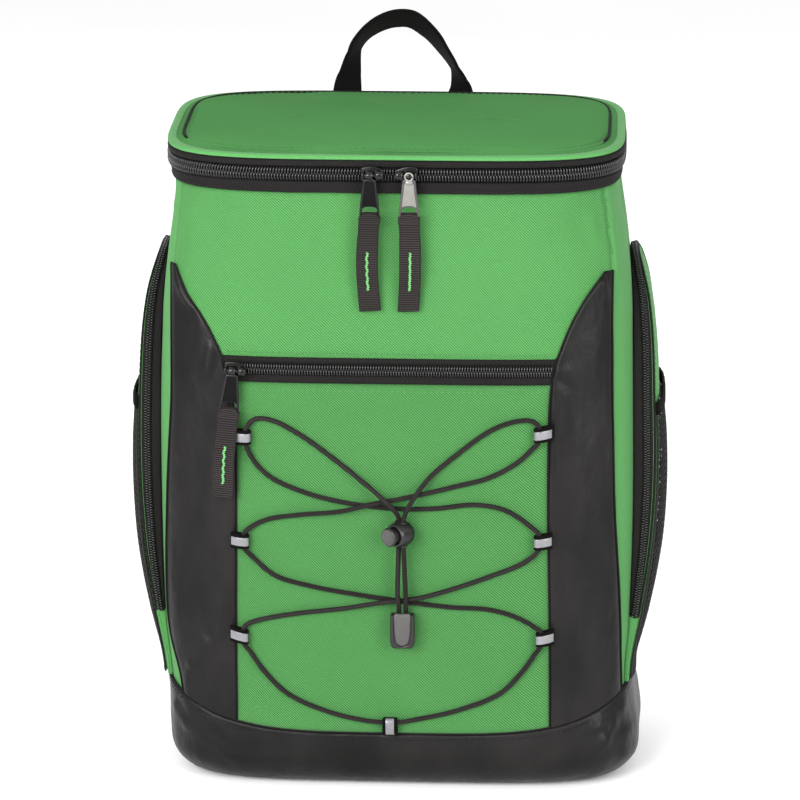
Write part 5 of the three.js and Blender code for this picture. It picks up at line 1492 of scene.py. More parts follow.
def side_pocket(side, name):
    """An arched side pocket with its zip, its panel and its net."""
    path, normal = arch_line()
    y0, s0 = path[:, 0], path[:, 1]

    def on_arch(out, high):
        y, s = y0 + normal[:, 0] * out, s0 + normal[:, 1] * out
        return flank(side, y, s, LAYER_GAP + swell(s) * high)

    form = Shape()
    profile = [(-CLOTH, 0.0), (-0.25, 0.0), (0.0, 0.04), (0.05, 0.2), (0.0, 0.43), (-0.25, 0.47),
               (-CLOTH, 0.47)]
    form.rings(np.stack([on_arch(out, high) for out, high in profile], 1))
    piece(f"side_tape_{name}", form, tape_black, "black_webbing", stands_for=f"side_zip_tape_{name}")

    form = Shape()
    profile = [(-CLOTH, 0.44), (0.0, 0.45), (0.35, 0.5), (0.35, 0.9), (0.0, 1.0), (-CLOTH, 1.02)]
    form.rings(np.stack([on_arch(out, high) for out, high in profile], 1), look=1)
    line = on_arch(0.3, 0.68)
    out = unit(on_arch(1.3, 0.68) - line)
    across = np.linalg.norm(on_arch(0.3, 0.9) - on_arch(0.3, 0.46), axis=1)
    wide = float(np.median(across)) / 2
    coil(form, line, out, max(1.4, wide - 0.2), 1.5, SMALL_PITCH, 0.45, per=1)
    piece(f"side_teeth_{name}", form, [coil_look, tape_black], "zip_coil", stands_for=f"side_zip_coil_{name}")

    # plain cloth closes the pocket's sides below the zip
    form = Shape()
    s = np.linspace(SEAM_SIDE - 1, SIDE_ZIP_END + 1, 24)[:, None]
    rise = np.linspace(0, 1, 6)[None]
    high = panel_off(ARCH_HALF, s)
    for edge in (-1, 1):
        y = edge * (ARCH_HALF - 0.6 + 0.5 * np.sin(np.pi * rise))
        wall = flank(side, y, s, rise * (high + SIDE_CLOTH * 0.8))
        form.sheet(wall, flank(side, y - edge * 0.7, s, rise * (high + SIDE_CLOTH * 0.6)))
    # the gusset takes the lighter copy of the green: painted light on the side
    piece(f"side_gusset_{name}", form, green_side_lit, "green_fabric")

    u = np.linspace(-1, 1, SIDE_COLS)[None]
    v = np.linspace(0, 1, SIDE_ROWS)[:, None]
    s = mix(SEAM_SIDE + LAYER_GAP + 1, ARCH_TOP, 1 - (1 - v) ** 1.15)
    half = np.maximum(4, arch_half(s))
    y = u * half
    low = flank(side, y, s, panel_off(y, s))
    near = np.minimum(np.minimum((1 - np.abs(u)) * half, ARCH_TOP - s), s - SEAM_SIDE)
    soft = (0.45 * uneven(low, 42, 2.0 + side) + 0.16 * uneven(low, 13, 5.0)) * ease(near / 12)
    soft = np.where(s > NET_TOP - 2, soft, np.minimum(soft, 0))
    off = panel_off(y, s) + 0.4 + (SIDE_CLOTH - 0.4) * bead(near, 2.5) + soft
    form = Shape()
    form.sheet(flank(side, y, s, off), low)
    # the side panel takes the lighter copy of the green: painted light on the side
    piece(f"side_cover_{name}", form, green_side_lit, "green_fabric", stands_for=f"side_panel_{name}")
    form = Shape()
    line = on_arch(-0.2, 1.0)
    out = unit(on_arch(-0.2, 1.3) - line)
    form.tube(even(line + out * 1.0, 2.4), 0.85, 7)
    piece(f"side_piping_{name}", form, binding, "black_webbing")
    form = Shape()
    stitches(form, on_arch(-4.6, 1.0) + out * 1.6, out)
    piece(f"side_stitches_{name}", form, green_stitch, "green_fabric")
    net(side, name)


def net(side, name):
    """Two families of slanting strands over the swelling surface, with a bound top."""
    form = Shape()
    y_low, y_high = -ARCH_HALF + 1, ARCH_HALF - 1
    s_low, s_high = SEAM_SIDE + LAYER_GAP + 1, float(NET_TOP)
    for way in (-1, 1):
        ys = np.arange(y_low, y_high + 0.1, 2.1) if way > 0 else np.arange(y_high, y_low - 0.1, -2.1)
        for start in np.arange(NET_SLOPE * (y_low - y_high), s_high - s_low, NET_PITCH):
            ss = s_low + start + NET_SLOPE * np.abs(ys - ys[0])
            keep = (ss >= s_low - 0.1) & (ss <= s_high + 0.1)
            if keep.sum() < 2:
                continue
            weave = 0.25 * way * np.cos(np.arange(keep.sum()) * np.pi)
            high = net_off(ys[keep], ss[keep]) + NET_STAND + weave
            form.tube(flank(side, ys[keep], ss[keep], high), NET_STRAND, 4)
    rise, low_edge = np.linspace(s_low, s_high, 60), np.full(60, s_low)
    for ys, ss in ((np.full(60, y_low), rise), (np.full(60, y_high), rise),
                   (np.linspace(y_low, y_high, 60), low_edge)):
        form.tube(flank(side, ys, ss, net_off(ys, ss) + NET_STAND), NET_EDGE, 6)
    piece(f"net_{name}", form, net_yarn, "net", stands_for=f"net_pocket_{name}")

    u = np.linspace(0, 1, 49)[None]
    v = np.linspace(0, 1, 13)[:, None]
    s = mix(NET_TOP + SEAT, NET_TOP + SEAT + NET_BINDING, v)
    y = mix(y_low, y_high, u)
    ground = net_off(y, float(NET_TOP))
    gather = 0.35 * np.sin(y * 1.15 + 0.6 * np.sin(y * 0.2))
    thick = 0.9 * bead(np.minimum(v, 1 - v) * NET_BINDING, 1.6)
    form = Shape()
    inside = flank(side, y, s, ground + 0.2 + gather)
    form.sheet(flank(side, y, s, ground + 0.9 + thick + gather), inside)
    piece(f"net_edge_{name}", form, webbing, "black_webbing", stands_for=f"net_binding_{name}")


side_pocket(-1, "left")
side_pocket(1, "right")


# elastic cord
CORD, CORD_CLEARANCE, STRAND_SPACING = 3.2, 0.7, 4.5
CORD_STEP = 1.25
LOOP_HEIGHT, LOOP_WALL, LOOP_REACH = 9.5, 1.2, 7.5
LOCK_HEIGHT_AT, LOCK_X, LOCK_DIAMETER, LOCK_LENGTH, LOCK_TURN = 182, 5.5, 17, 14, 40
BUTTON_DIAMETER, BUTTON_HEAD, BUTTON_TRAVEL = 12.4, 2.6, 3
PLUNGER_DIAMETER, PLUNGER_CLEARANCE = 10.4, 0.35
END_WIDTH, END_TOP_WIDTH, END_HEIGHT, END_THICK, END_TOP_AT = 16, 11, 22.5, 7.5, 126
STRAND = CORD * 1.16
CORD_BASE = LAYER_GAP + PANEL_PAD + SEAT + CORD / 2
CORD_LIFT = LOOP_WALL + CORD_CLEARANCE
LOCK_OFF = CORD_BASE + 2.1 * STRAND
STRAND_X = STRAND_SPACING / 2 * math.cos(math.radians(LOCK_TURN))
STRAND_OFF = STRAND_SPACING / 2 * math.sin(math.radians(LOCK_TURN))

# share of HALF_WIDTH, height as a share of BODY_HEIGHT or from the lock ("l") or end ("e"),
# strands high; or a loop the cord runs through
ROUTE = [
    (0.0252, ("e", -0.236), 1.45), (0.0252, ("e", 0.088), 1.45), (0.0240, ("e", 0.330), 2.0),
    (0.0200, ("l", -2.500), 2.2), "lock left", (-0.0250, ("l", 1.230), 2.2), (-0.1250, 0.5320, 0.9),
    (-0.2200, 0.5600, 0), (-0.3800, 0.6060, 0), (-0.5000, 0.6300, 0), (-0.5700, 0.6310, 0.2),
    (-0.6050, 0.6020, "down"), (-0.5700, 0.5600, 0.1), (-0.5000, 0.5340, 0), (-0.3500, 0.5090, 0),
    (-0.2000, 0.4950, 0), (0.0000, 0.4860, 0), (0.1700, 0.4870, 0), (0.3400, 0.4940, 0),
    (0.4600, 0.4850, 0), (0.5500, 0.4620, 0.1), (0.5980, 0.4330, "down"), (0.5400, 0.3980, 0.1),
    (0.4000, 0.3740, 0), (0.2500, 0.3540, 0.6), (0.1000, 0.3380, 1.05), (-0.0600, 0.3290, 1.0),
    (-0.2000, 0.3170, 0.2), (-0.4000, 0.3060, 0), (-0.5400, 0.2950, 0), (-0.6060, 0.2860, 0.3),
    (-0.6220, 0.2660, "down"), (-0.5980, 0.2400, 0.2), (-0.5400, 0.2060, 0), (-0.4400, 0.1670, 0),
    (-0.2800, 0.1390, 0), (-0.1300, 0.1250, 0.1), (-0.0145, 0.1230, "across"), (0.1000, 0.1280, 0.1),
    (0.2600, 0.1430, 0), (0.4400, 0.1730, 0), (0.5350, 0.2120, 0), (0.5870, 0.2430, 0.2),
    (0.6090, 0.2690, "up"), (0.5800, 0.2890, 0.2), (0.5100, 0.3040, 0), (0.4000, 0.3170, 0),
    (0.2300, 0.3210, 0), (0.0500, 0.3290, 0), (-0.1500, 0.3400, 0), (-0.3400, 0.3530, 0),
    (-0.4900, 0.3700, 0), (-0.5780, 0.3990, 0.1), (-0.6160, 0.4280, "up"), (-0.5900, 0.4500, 0.2),
    (-0.5200, 0.4640, 0), (-0.3800, 0.4740, 0.2), (-0.2200, 0.4820, 0.9), (-0.0800, 0.4960, 1.05),
    (0.0800, 0.5090, 0.9), (0.2500, 0.5240, 0.1), (0.3900, 0.5390, 0), (0.5050, 0.5640, 0),
    (0.5700, 0.5880, 0.1), (0.5950, 0.6120, "up"), (0.5650, 0.6340, 0.2), (0.5000, 0.6330, 0),
    (0.4000, 0.6180, 0), (0.2500, 0.5740, 0), (0.1500, 0.5400, 0.7), (0.0850, ("l", 1.396), 2.1),
    "lock right", (0.0530, ("l", -2.500), 2.2), (0.0535, ("e", 0.330), 2.0),
    (0.0535, ("e", 0.088), 1.45), (0.0535, ("e", -0.236), 1.45),
]


def cord_height(up):
    if isinstance(up, tuple):
        start, by = (LOCK_HEIGHT_AT, LOCK_DIAMETER) if up[0] == "l" else (END_TOP_AT, END_HEIGHT)
        return start + up[1] * by
    return up * BODY_HEIGHT


def cord_points(row):
    if isinstance(row, str):
        side = -1 if row == "lock left" else 1
        return [front(LOCK_X + side * STRAND_X, LOCK_HEIGHT_AT + side * k * LOCK_DIAMETER * 0.62,
                      LOCK_OFF + side * STRAND_OFF) for k in (1, 0, -1)]
    x, up, way = row
    x, s = x * HALF_WIDTH, cord_height(up)
    if not isinstance(way, str):
        return [front(x, s, CORD_BASE + way * STRAND)]
    middle = front(x, s, CORD_BASE + CORD_LIFT)
    half = LOOP_HEIGHT / 2
    if way == "across":
        return [middle + np.array([k * half, 0, 0]) for k in (-1, 0, 1)]
    first = half if way == "down" else -half
    return [middle + np.array([0, 0, k]) for k in (first, 0, -first)]


def cord():
    """The braided elastic, through its loops and its lock."""
    route = [p for row in ROUTE for p in cord_points(row)]
    line = even(spline(route, 24), CORD_STEP)
    along = unit(np.gradient(line, axis=0))
    across = unit(np.stack([-along[:, 2], np.zeros(len(line)), along[:, 0]], 1))
    out = np.cross(along, across)
    turn = full_turn(10)
    ring = np.stack([np.cos(turn), np.sin(turn)], -1) * CORD / 2
    form = Shape()
    form.rings(swept(line, across, out, ring))
    piece("cord", form, cord_look, "elastic", stands_for="elastic_cord")
cord()

# name, which way the cord runs, and the slant of the loop
LOOPS = [
    ("left_top", "down", 0.0), ("right_mid", "down", 0.10), ("left_low", "down", 0.20),
    ("bottom", "across", 0.0), ("right_low", "up", 0.16), ("left_mid", "up", 0.05),
    ("right_top", "up", 0.14),
]


def cord_loops():
    rows = [row for row in ROUTE if not isinstance(row, str) and isinstance(row[2], str)]
    outer = CORD / 2 + CORD_LIFT
    radius, reach = outer - LOOP_WALL / 2, LOOP_REACH
    turn = np.linspace(-np.pi / 2, np.pi / 2, 15)
    path = [(reach + 1.2, -radius)] + [(k, -radius) for k in np.linspace(reach, 0.6, 7)]
    path += [(-radius * math.cos(t), radius * math.sin(t)) for t in turn]
    path += [(k, radius - (k / reach) ** 2 * (outer * 1.05) * 0.75) for k in np.linspace(0.6, reach, 8)]
    path = np.array([*path, (reach + 1.2, radius - outer * 0.98)])
    line = even(np.column_stack([np.zeros(len(path)), path]), 0.8)
    right = same(RIGHT, len(line))
    outwards = np.cross(right, unit(np.gradient(line, axis=0)))
    pinch = 1 + 0.10 * np.clip(line[:, 1] / reach, 0, 1)
    profile = section(LOOP_HEIGHT, LOOP_WALL, 0.5, 4, 8)[None]
    profile = profile * np.stack([pinch, np.ones(len(line))], -1)[:, None]
    # the reflective strip lies on the outer face, from the crown to the sewn end
    start = np.argmin(np.abs(line[:, 1] + radius * 0.93) + 9.0 * (line[:, 2] < 0))
    face, normal = line[start:-1], outwards[start:-1]
    proud = (LOOP_WALL / 2 + 0.12) * (1 if normal.mean(0)[2] > 0 else -1)
    strip = swept(face + normal * proud, right[start:-1], normal, section(5.6, 0.34, 0.15, 3, 5))
    for row, (name, way, slope) in zip(rows, LOOPS):
        middle = cord_points(row)[1]
        side = -1 if row[0] < 0 else 1

        def placed(p, middle=middle, side=side, way=way, slope=slope):
            # local: along the cord, towards the sewn end, outwards
            a, b, c = p[..., 0], p[..., 1], p[..., 2]
            if way == "across":
                return middle + stack(a, -c, -b)
            return middle + stack(side * b, -c, a + slope * b)

        form = Shape()
        form.rings(placed(swept(line, right, outwards, profile)))
        piece(f"loop_{name}", form, webbing, "black_webbing", stands_for=f"cord_loop_{name}")
        form = Shape()
        form.rings(placed(strip))
        piece(f"loop_strip_{name}", form, reflective)


cord_loops()


def cord_lock():
    """The barrel and the button that clamp the cord."""
    home = front(LOCK_X, LOCK_HEIGHT_AT, LOCK_OFF)
    turn = math.radians(-LOCK_TURN)

    def placed(p):
        x = p[..., 0] * math.cos(turn) - p[..., 1] * math.sin(turn)
        y = p[..., 0] * math.sin(turn) + p[..., 1] * math.cos(turn)
        return stack(x, y, p[..., 2]) + home

    bore = PLUNGER_DIAMETER / 2 + PLUNGER_CLEARANCE
    half, radius = LOCK_LENGTH / 2, LOCK_DIAMETER / 2
    # radius as a share of the barrel's, length as a share of the half length
    outside = [(0.52, 0.9714), (0.80, 0.84), (0.95, 0.56), (1.0, 0.10), (0.985, -0.36), (0.93, -0.72),
               (0.88, -0.88), (0.84, -0.98)]
    outside = [(0.3, half - 0.15, 0)] + [(r * radius, k * half, 0) for r, k in outside]
    lip = [(radius * 0.79, -half), (bore + 0.5, -half), (bore + 0.1, -half + 0.3), (bore, -half + 0.8)]
    inside = [(bore, half - 2.6), (bore - 0.4, half - 2.2), (0.2, half - 2.2)]
    form = Shape()
    turned(form, np.vstack([spline(outside, 4)[:, :2], lip, inside]), placed, 56)
    # collars where the two strands go in and come out
    t, a = full_turn(24)[:, None], full_turn(8)
    away = 2.1 + 0.5 * np.cos(a)
    collar = stack(away * np.cos(t), away * np.sin(t), 0.5 * np.sin(a))
    for k in (-1, 1):
        for side in (-1, 1):
            centre = np.array([side * STRAND_SPACING / 2, 0, k * radius * 0.93])
            form.rings(placed(collar + centre), closed=True)
    piece("lock_barrel", form, plastic, "black_plastic", stands_for="cord_lock_barrel", sharp=50)

    head = -half - BUTTON_TRAVEL - PLUNGER_CLEARANCE
    face = head - BUTTON_HEAD
    plunger_back = half - 2.2 - BUTTON_TRAVEL - PLUNGER_CLEARANCE
    r, rod = BUTTON_DIAMETER / 2, PLUNGER_DIAMETER / 2
    profile = [
        (0.2, face + 0.55), (2.6, face + 0.5), (r - 2.0, face + 0.28), (r - 1.35, face + 0.05),
        (r - 0.9, face), (r - 0.45, face + 0.12), (r - 0.12, face + 0.5), (r, face + 1.0),
        (r, head - 0.5), (r - 0.15, head - 0.15), (r - 0.5, head), (rod, head + 0.05),
        (rod, plunger_back - 0.5), (rod - 0.5, plunger_back), (0.2, plunger_back),
    ]
    form = Shape()
    turned(form, profile, placed, 48, [1] * 4 + [0] * (len(profile) - 5))
    form.looks[1] = np.ones(48, int)
    piece("lock_button_knob", form, [plastic, plastic_grey], "grey_plastic", "lock_button",
          "cord_lock_button", sharp=50)


cord_lock()


def cord_end():
    """The grip on the cord's ends."""
    first, last = cord_points(ROUTE[0])[0], ROUTE[-1]
    x = (ROUTE[0][0] + last[0]) / 2 * HALF_WIDTH
    home = np.array([x, first[1], float(END_TOP_AT)])
    placed = lambda p: p + home
    w, tw, h = END_WIDTH / 2, END_TOP_WIDTH / 2, END_HEIGHT
    half = [(tw + 1.9, 0.6), (w - 0.3, -0.8), (w, -h * 0.3), (w + 0.1, -h * 0.62), (w - 0.2, -h * 0.88),
            (w - 1.8, -h * 0.985)]
    form = Shape()
    plate(form, smooth_outline(mirrored(half, [(0, -h)], [(0, -0.2)])), END_THICK, 1.5, placed)
    # raised cheeks beside the insert
    cheek = [(w - 1.5, 0.2, 0.2), (w - 1.3, 0, -h * 0.35), (w - 1.7, 0, -h * 0.62),
             (w - 3.4, 0.1, -h * 0.88), (0.6, 0.2, -h * 0.955)]
    for side in (-1, 1):
        rail = spline([(side * x, y - END_THICK / 2, z) for x, y, z in cheek], 8)
        form.tube(placed(rail), 0.95, 10)
    piece("cord_end_grip", form, plastic, "black_plastic", stands_for="cord_end", sharp=50)
    half = [(w - 3.0, 1.2), (w - 2.8, -h * 0.3), (w - 3.2, -h * 0.60), (w - 4.6, -h * 0.82)]
    tongue = smooth_outline(mirrored(half, [(0, -h * 0.895)], [(0, 1.5)]))
    form = Shape()
    plate(form, tongue, 2.4, 0.7, lambda p: placed(p + np.array([0, -END_THICK / 2 + 0.35, 0])))
    piece("cord_end_tongue", form, plastic_grey, "grey_plastic", sharp=50)


cord_end()

# haul loop
WEBBING, WEBBING_THICK = 20, 2.4
HANDLE_SPAN, HANDLE_RISE, HANDLE_DROP, HANDLE_SHIFT = 78, 62, 22, -2
HANDLE_TOP, HANDLE_FOOT = LID_LOW + HANDLE_RISE, BAND_LOW - HANDLE_DROP
HANDLE = [
    (-1.00, 0.00, 0), (-1.00, 0.20, 0), (-1.02, 0.38, 0), (-1.01, 0.50, 14), (-0.97, 0.62, 46),
    (-0.89, 0.774, 70), (-0.72, 0.875, 64), (-0.46, 0.95, 54), (-0.16, 0.988, 47), (0.12, 0.982, 46),
    (0.40, 0.905, 54), (0.62, 0.800, 64), (0.86, 0.665, 73), (0.94, 0.57, 54), (0.96, 0.47, 16),
    (0.96, 0.36, 0), (0.94, 0.20, 0), (0.94, 0.00, 0),
]


def haul_loop():
    """The webbing handle behind the lid, which twists as it rises."""
    back_face = BAND_PROUD + 0.3 + LAYER_GAP + WEBBING_THICK / 2
    points = []
    for x, up, _ in HANDLE:
        px = x * HANDLE_SPAN / 2
        s = mix(HANDLE_FOOT, HANDLE_TOP, up)
        y = back(px, s, WEBBING_THICK / 2 + SEAT)[1] if up < 0.1 else back(px, float(LID_LOW), back_face)[1]
        aside = 5.5 * ease((up - 0.48) / 0.14) * (0.4 + 0.6 * ease((0.9 - up) / 0.1))
        points.append((px + HANDLE_SHIFT, y + aside, s))
    per = 14
    line = spline(points, per)
    along = unit(np.gradient(line, axis=0))
    turns = [row[2] for row in HANDLE]
    turn = np.radians(np.interp(np.arange(len(line)) / per, np.arange(len(HANDLE)), turns))[:, None]
    outward = unit(np.stack([-along[:, 2], np.zeros(len(line)), along[:, 0]], 1))
    wide = outward * np.cos(turn) - np.array(REAR) * np.sin(turn)
    wide = unit(wide - along * np.sum(wide * along, 1)[:, None])
    thin = np.cross(along, wide)
    both = even(np.concatenate([line, wide, thin], 1), 1.4)
    line, wide, thin = both[:, :3], unit(both[:, 3:6]), unit(both[:, 6:])
    profile = section(WEBBING, WEBBING_THICK, 1.0, 5, 12)
    form = Shape()
    form.rings(swept(line, wide, thin, profile))
    piece("haul_webbing", form, webbing, "black_webbing", stands_for="haul_loop")
    form = Shape()
    half = 8.2
    for step in (1, -1):
        ring, w, t = (rows[::step][3:17] for rows in (line, wide, thin))
        for face in (-1, 1):
            normal = t * face
            top = ring + normal * WEBBING_THICK / 2
            for shift in (-half, half):
                stitches(form, top + w * shift, normal)
            for at in (0, -1):
                a = np.linspace(-half, half, 12)[:, None]
                stitches(form, top[at] + w[at] * a, same(normal[at], 12))
    piece("haul_stitches", form, black_thread, "black_webbing")


haul_loop()

# back and shoulder straps
BACK_PAD, BACK_HALF, BACK_LOW, BACK_HIGH = 6, 112, 76, 364
STRAP_WIDTH, STRAP_PAD, STRAP_WEBBING, STRAP_STANDOFF = 58, 11, 25, 36
BUCKLE_WIDTH, BUCKLE_HEIGHT, BUCKLE_THICK, BUCKLE_BAR = 32, 30, 4.2, 4


def back_panel():
    """The quilted pad against the back."""
    u = np.linspace(0, 1, 91)[None]
    v = np.linspace(0, 1, 121)[:, None]
    round_off = 16
    x0, s0 = mix(-BACK_HALF, BACK_HALF, u), mix(BACK_LOW, BACK_HIGH, v)
    # rounded corners: the rectangle's corners are drawn in
    cx = np.clip(np.abs(x0) - (BACK_HALF - round_off), 0, None)
    mid, half = (BACK_LOW + BACK_HIGH) / 2, (BACK_HIGH - BACK_LOW) / 2
    cs = np.clip(np.abs(s0 - mid) - (half - round_off), 0, None)
    big = np.maximum(cx, cs)
    shrink = np.where(big > 0, big / np.maximum(np.hypot(cx, cs), 1e-9), 1)
    x = np.sign(x0) * (np.abs(x0) - cx + cx * shrink)
    s = mid + np.sign(s0 - mid) * (np.abs(s0 - mid) - cs + cs * shrink)
    low = back(x, s, EDGE_GAP)
    near = np.minimum(BACK_HALF - np.abs(x0), half - np.abs(s0 - mid))
    near = np.where(big > 0, round_off - big, near)
    full = BACK_PAD * (0.22 + 0.78 * bead(near, 12))
    channel = np.zeros(np.broadcast(x, s).shape)
    for at in (-38, 38):
        channel = np.maximum(channel, np.exp(-(((x - at) / 4.0) ** 2)) * ease((half - np.abs(s - mid)) / 12))
    for at in (mid - 48, mid + 48):
        channel = np.maximum(channel, np.exp(-(((s - at) / 4.0) ** 2)) * ease((BACK_HALF - np.abs(x)) / 12))
    full = full * (1 - 0.62 * channel)
    soft = (0.35 * uneven(low, 34, 1.1) + 0.15 * uneven(low, 12, 7.7)) * ease(near / 10) - 0.1
    form = Shape()
    form.sheet(back(x, s, EDGE_GAP + np.minimum(full + soft, BACK_PAD + 0.2)), low)
    made = piece("back_pad", form, pad_cloth, "charcoal_padding", stands_for="back_panel")
    ring_x, ring_s = (np.concatenate([a[0], a[1:-1, -1], a[-1, ::-1], a[-2::-1, 0]]) for a in (x, s))
    ring = back(ring_x, ring_s, np.full(len(ring_x), 1.7))
    form = Shape()
    form.tube(even(ring, 2.4), 1.35, 8)
    piece("back_edging", form, binding, "black_webbing")


STRAP = [
    (0.48, 0.895, 0.00, 0.45), (0.49, 0.868, 0.10, 0.75), (0.52, 0.820, 0.52, 1), (0.58, 0.740, 0.90, 1),
    (0.65, 0.640, 1.00, 1), (0.72, 0.540, 0.92, 1), (0.78, 0.450, 0.78, 0.6),
]
LOWER = [(0.86, 0.330, 0.58), (0.95, 0.220, 0.30), (1.00, 0.160, 0.08), (1.02, 0.122, 0.00)]


def webbing_rows(line, across, out, thick, edge, step):
    """A flat webbing along a line, in even steps."""
    both = even(np.concatenate([line, across, out], 1), step)
    profile = section(STRAP_WEBBING, thick, edge, 4, 10)
    return swept(both[:, :3], unit(both[:, 3:6]), unit(both[:, 6:]), profile)


def sideways(line):
    """Directions along, across and out of a strap that runs down the back."""
    along = unit(np.gradient(line, axis=0))
    across = unit(np.array(RIGHT) - along * along[:, :1])
    return along, across, np.cross(across, along)


def ladder_lock(name, centre, across_end, out_end, down):
    def in_buckle(p):
        return centre + p[..., :1] * across_end + p[..., 1:2] * out_end + p[..., 2:] * -down

    form = Shape()
    slot = (BUCKLE_HEIGHT - 3 * BUCKLE_BAR) / 2
    half_wide, half_high = BUCKLE_WIDTH / 2, BUCKLE_HEIGHT / 2
    right, rear, up = same(RIGHT, 4), same(REAR, 4), same([0, 0, 1.0], 4)
    for edge in (-1, 1):
        x = edge * (BUCKLE_WIDTH - 3) / 2
        posts = np.array([[x, 0, k] for k in (-half_high + 0.6, -5.0, 5.0, half_high - 0.6)])
        form.rings(in_buckle(swept(posts, right, rear, section(3.4, BUCKLE_THICK, 1.3, 5, 2))))
    for k in (-1, 0, 1):
        z = k * (slot + BUCKLE_BAR)
        bars = np.array([[x, 0, z] for x in (-half_wide + 0.8, -6, 6, half_wide - 0.8)])
        profile = section(BUCKLE_BAR, BUCKLE_THICK if k else 3.2, 1.4, 5, 2)
        form.rings(in_buckle(swept(bars, up, rear, profile)))
    for edge in (-0.7, 0.7):
        for k in range(4):
            at = (edge * BUCKLE_WIDTH / 2.6, BUCKLE_THICK / 2 - 0.1, -half_high + 1.0 + k * 0.01)
            knob(form, at, (2.0, 0.8, 1.4), in_buckle)
    piece(f"ladder_{name}", form, black_plastic, "black_plastic",
          stands_for=f"strap_buckle_{name}", sharp=55)


def shoulder_strap(side, name):
    """A padded strap with its webbings and its ladder lock."""
    ground = EDGE_GAP + BACK_PAD + SEAT + STRAP_PAD * STRAP[0][3] / 2 + SEAT
    points = [back(side * x * BACK_HALF, up * BODY_HEIGHT, ground + away * STRAP_STANDOFF)
              for x, up, away, _ in STRAP]
    per = 26
    line = spline(points, per)
    share = np.arange(len(line)) / per
    full = STRAP_PAD * np.interp(share, np.arange(len(STRAP)), [row[3] for row in STRAP])
    along, across, out = sideways(line)
    down = along[-1]
    run = run_along(line)
    waist = 1 - 0.20 * ease((run - run[-1] * 0.80) / (run[-1] * 0.20)) - 0.10 * ease((24 - run) / 24)
    u = np.concatenate([np.linspace(-1, 1, 25), np.linspace(1, -1, 25)[1:-1]])
    face = np.concatenate([np.ones(25), -np.ones(23)])
    crown = 0.36 + 0.64 * bead((1 - np.abs(u)) * STRAP_WIDTH / 2, 7.5)
    seam_dip = 0.25 * np.exp(-(((np.abs(u) - 0.80) / 0.06) ** 2))
    rows = []
    for k in range(len(line)):
        v = face * (crown - seam_dip) * full[k] / 2
        quilt = 0.25 * math.sin(run[k] / 9.0) * (1 - np.abs(u) ** 2) * (1 if full[k] > 8 else 0.3)
        wide = across[k] * (u * STRAP_WIDTH / 2 * waist[k])[:, None]
        rows.append(line[k] + wide + out[k] * (v + face * quilt * 0.4)[:, None])
    form = Shape()
    form.rings(rows)
    made = piece(f"strap_pad_{name}", form, [strap_cloth], "charcoal_padding",
                 stands_for=f"shoulder_strap_{name}")
    form = Shape()
    for edge in (-1, 1):
        rim = line + across * (edge * (STRAP_WIDTH / 2 * waist + 0.2))[:, None]
        profile = section(3.4, 5.6, 1.6, 4, 3)
        scale = np.stack([np.ones(len(line)), np.clip(full * 0.5 / 5.6, 0.5, 1.1)], -1)[:, None]
        form.rings(swept(rim, across, out, profile[None] * scale))
    piece(f"strap_edging_{name}", form, binding, "black_webbing")
    form = Shape()
    for edge in (-1, 1):
        beside = line + across * (edge * STRAP_WIDTH / 2 * waist * 0.80)[:, None]
        for way in (-1, 1):
            seam_line = beside + out * (way * full / 2 * 0.80)[:, None]
            stitches(form, seam_line[4:-4], out[4:-4] * way, 3.0, 1.4, 0.3, 0.1)
    piece(f"strap_stitches_{name}", form, black_thread, "black_webbing")
    # a webbing runs down the middle of the outer face, into the buckle
    end = line[-1]
    centre = end + down * (BUCKLE_HEIGHT / 2 + SEAT)
    across_end = unit(np.array(RIGHT) - down * down[0])
    out_end = np.cross(across_end, down)
    form = Shape()
    course = np.vstack([line[30:] + out[30:] * (full[30:] / 2 + 0.9)[:, None],
                        end + down * 3.5 + out_end * 1.0, end + down * 6.0 - out_end * 0.2])
    a = np.vstack([across[30:], across_end, across_end])
    o = np.vstack([out[30:], out_end, out_end])
    form.rings(webbing_rows(course, a, o, 1.5, 0.7, 1.5))
    piece(f"strap_band_{name}", form, webbing, "black_webbing")

    ladder_lock(name, centre, across_end, out_end, down)
    on_back = BOOT_OUT + LAYER_GAP + WEBBING_THICK / 2
    lower = [back(side * x * BACK_HALF, up * BODY_HEIGHT, on_back + away * STRAP_STANDOFF)
             for x, up, away in LOWER]
    start = centre - out_end * ((BUCKLE_THICK + WEBBING_THICK) / 2 + SEAT)
    course = spline([start, start + down * BUCKLE_HEIGHT * 0.6, *lower], 30)
    _, across, out = sideways(course)
    form = Shape()
    form.rings(webbing_rows(course, across, out, 2.0, 0.9, 1.2))
    piece(f"strap_tail_{name}", form, webbing, "black_webbing", stands_for=f"strap_webbing_{name}")


back_panel()
shoulder_strap(-1, "left")
shoulder_strap(1, "right")


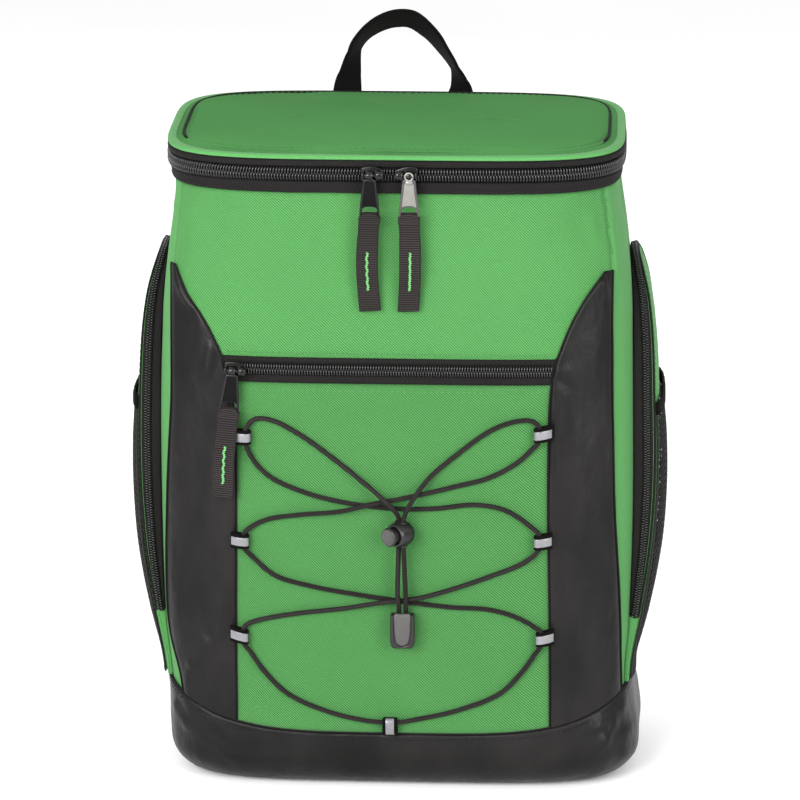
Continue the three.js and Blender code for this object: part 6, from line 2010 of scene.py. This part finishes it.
# light and floor
def light(name, place, look_at, size, power, spread=180, colour=(1, 1, 1)):
    data = bpy.data.lights.new(name, "AREA")
    data.shape, data.size, data.size_y = "RECTANGLE", size[0], size[1]
    data.energy, data.color, data.spread = power, colour, math.radians(spread)
    made = bpy.data.objects.new(name, data)
    scene.collection.objects.link(made)
    made.location = place
    made.rotation_mode = "QUATERNION"
    made.rotation_quaternion = (Vector(look_at) - Vector(place)).to_track_quat("-Z", "Y")


light("key", (-0.75, -1.75, 0.95), (0, 0, 0.36), (1.1, 1.1), 10.8, 75)
light("fill", (1.15, -1.6, 0.85), (0, 0, 0.34), (1.0, 1.2), 6, 80)
light("strip_left", (-1.05, -1.25, 0.50), (0, 0, 0.22), (0.22, 0.95), 1.6, 90)
light("strip_right", (1.15, -1.25, 0.50), (0, 0, 0.22), (0.22, 0.95), 1.2, 90)
light("rim_left", (-2.0, 0.3, 1.0), (0, 0, 0.25), (0.7, 1.5), 4)
light("rim_right", (2.0, 0.3, 1.0), (0, 0, 0.25), (0.7, 1.5), 4)
light("back", (0.3, 2.3, 1.2), (0, 0, 0.25), (1.6, 1.4), 8)

# the sky of the studio: bright overhead, dimmer near the horizon
world = bpy.data.worlds.new("studio")
scene.world = world
world.use_nodes = True
nodes, links = world.node_tree.nodes, world.node_tree.links
direction = nodes.new("ShaderNodeTexCoord")
apart = nodes.new("ShaderNodeSeparateXYZ")
ramp = nodes.new("ShaderNodeValToRGB")
stops = ramp.color_ramp.elements
stops[0].position, stops[1].position = 0.1, 0.6
stops[0].color, stops[1].color = (0.22, 0.22, 0.22, 1), (1.12, 1.12, 1.12, 1)
links.new(direction.outputs["Generated"], apart.inputs[0])
links.new(apart.outputs["Z"], ramp.inputs["Fac"])
links.new(ramp.outputs["Color"], nodes["Background"].inputs["Color"])
nodes["Background"].inputs["Strength"].default_value = 1.0

floor_look = Look("floor", 0.9)
floor_look.colour(floor_look.ramp(floor_look.noise(3.0, 2.0), [0.93] * 3, [0.96] * 3))
FLOOR_REACH, FLOOR_LEVEL = 14, -0.0005
corners = [(x * FLOOR_REACH, y * FLOOR_REACH, FLOOR_LEVEL) for x, y in ((-1, -1), (1, -1), (1, 1), (-1, 1))]
floor_mesh = bpy.data.meshes.new("floor")
floor_mesh.from_pydata(corners, [], [(0, 1, 2, 3)])
floor = bpy.data.objects.new("floor", floor_mesh)
floor_mesh.materials.append(floor_look.material)
scene.collection.objects.link(floor)
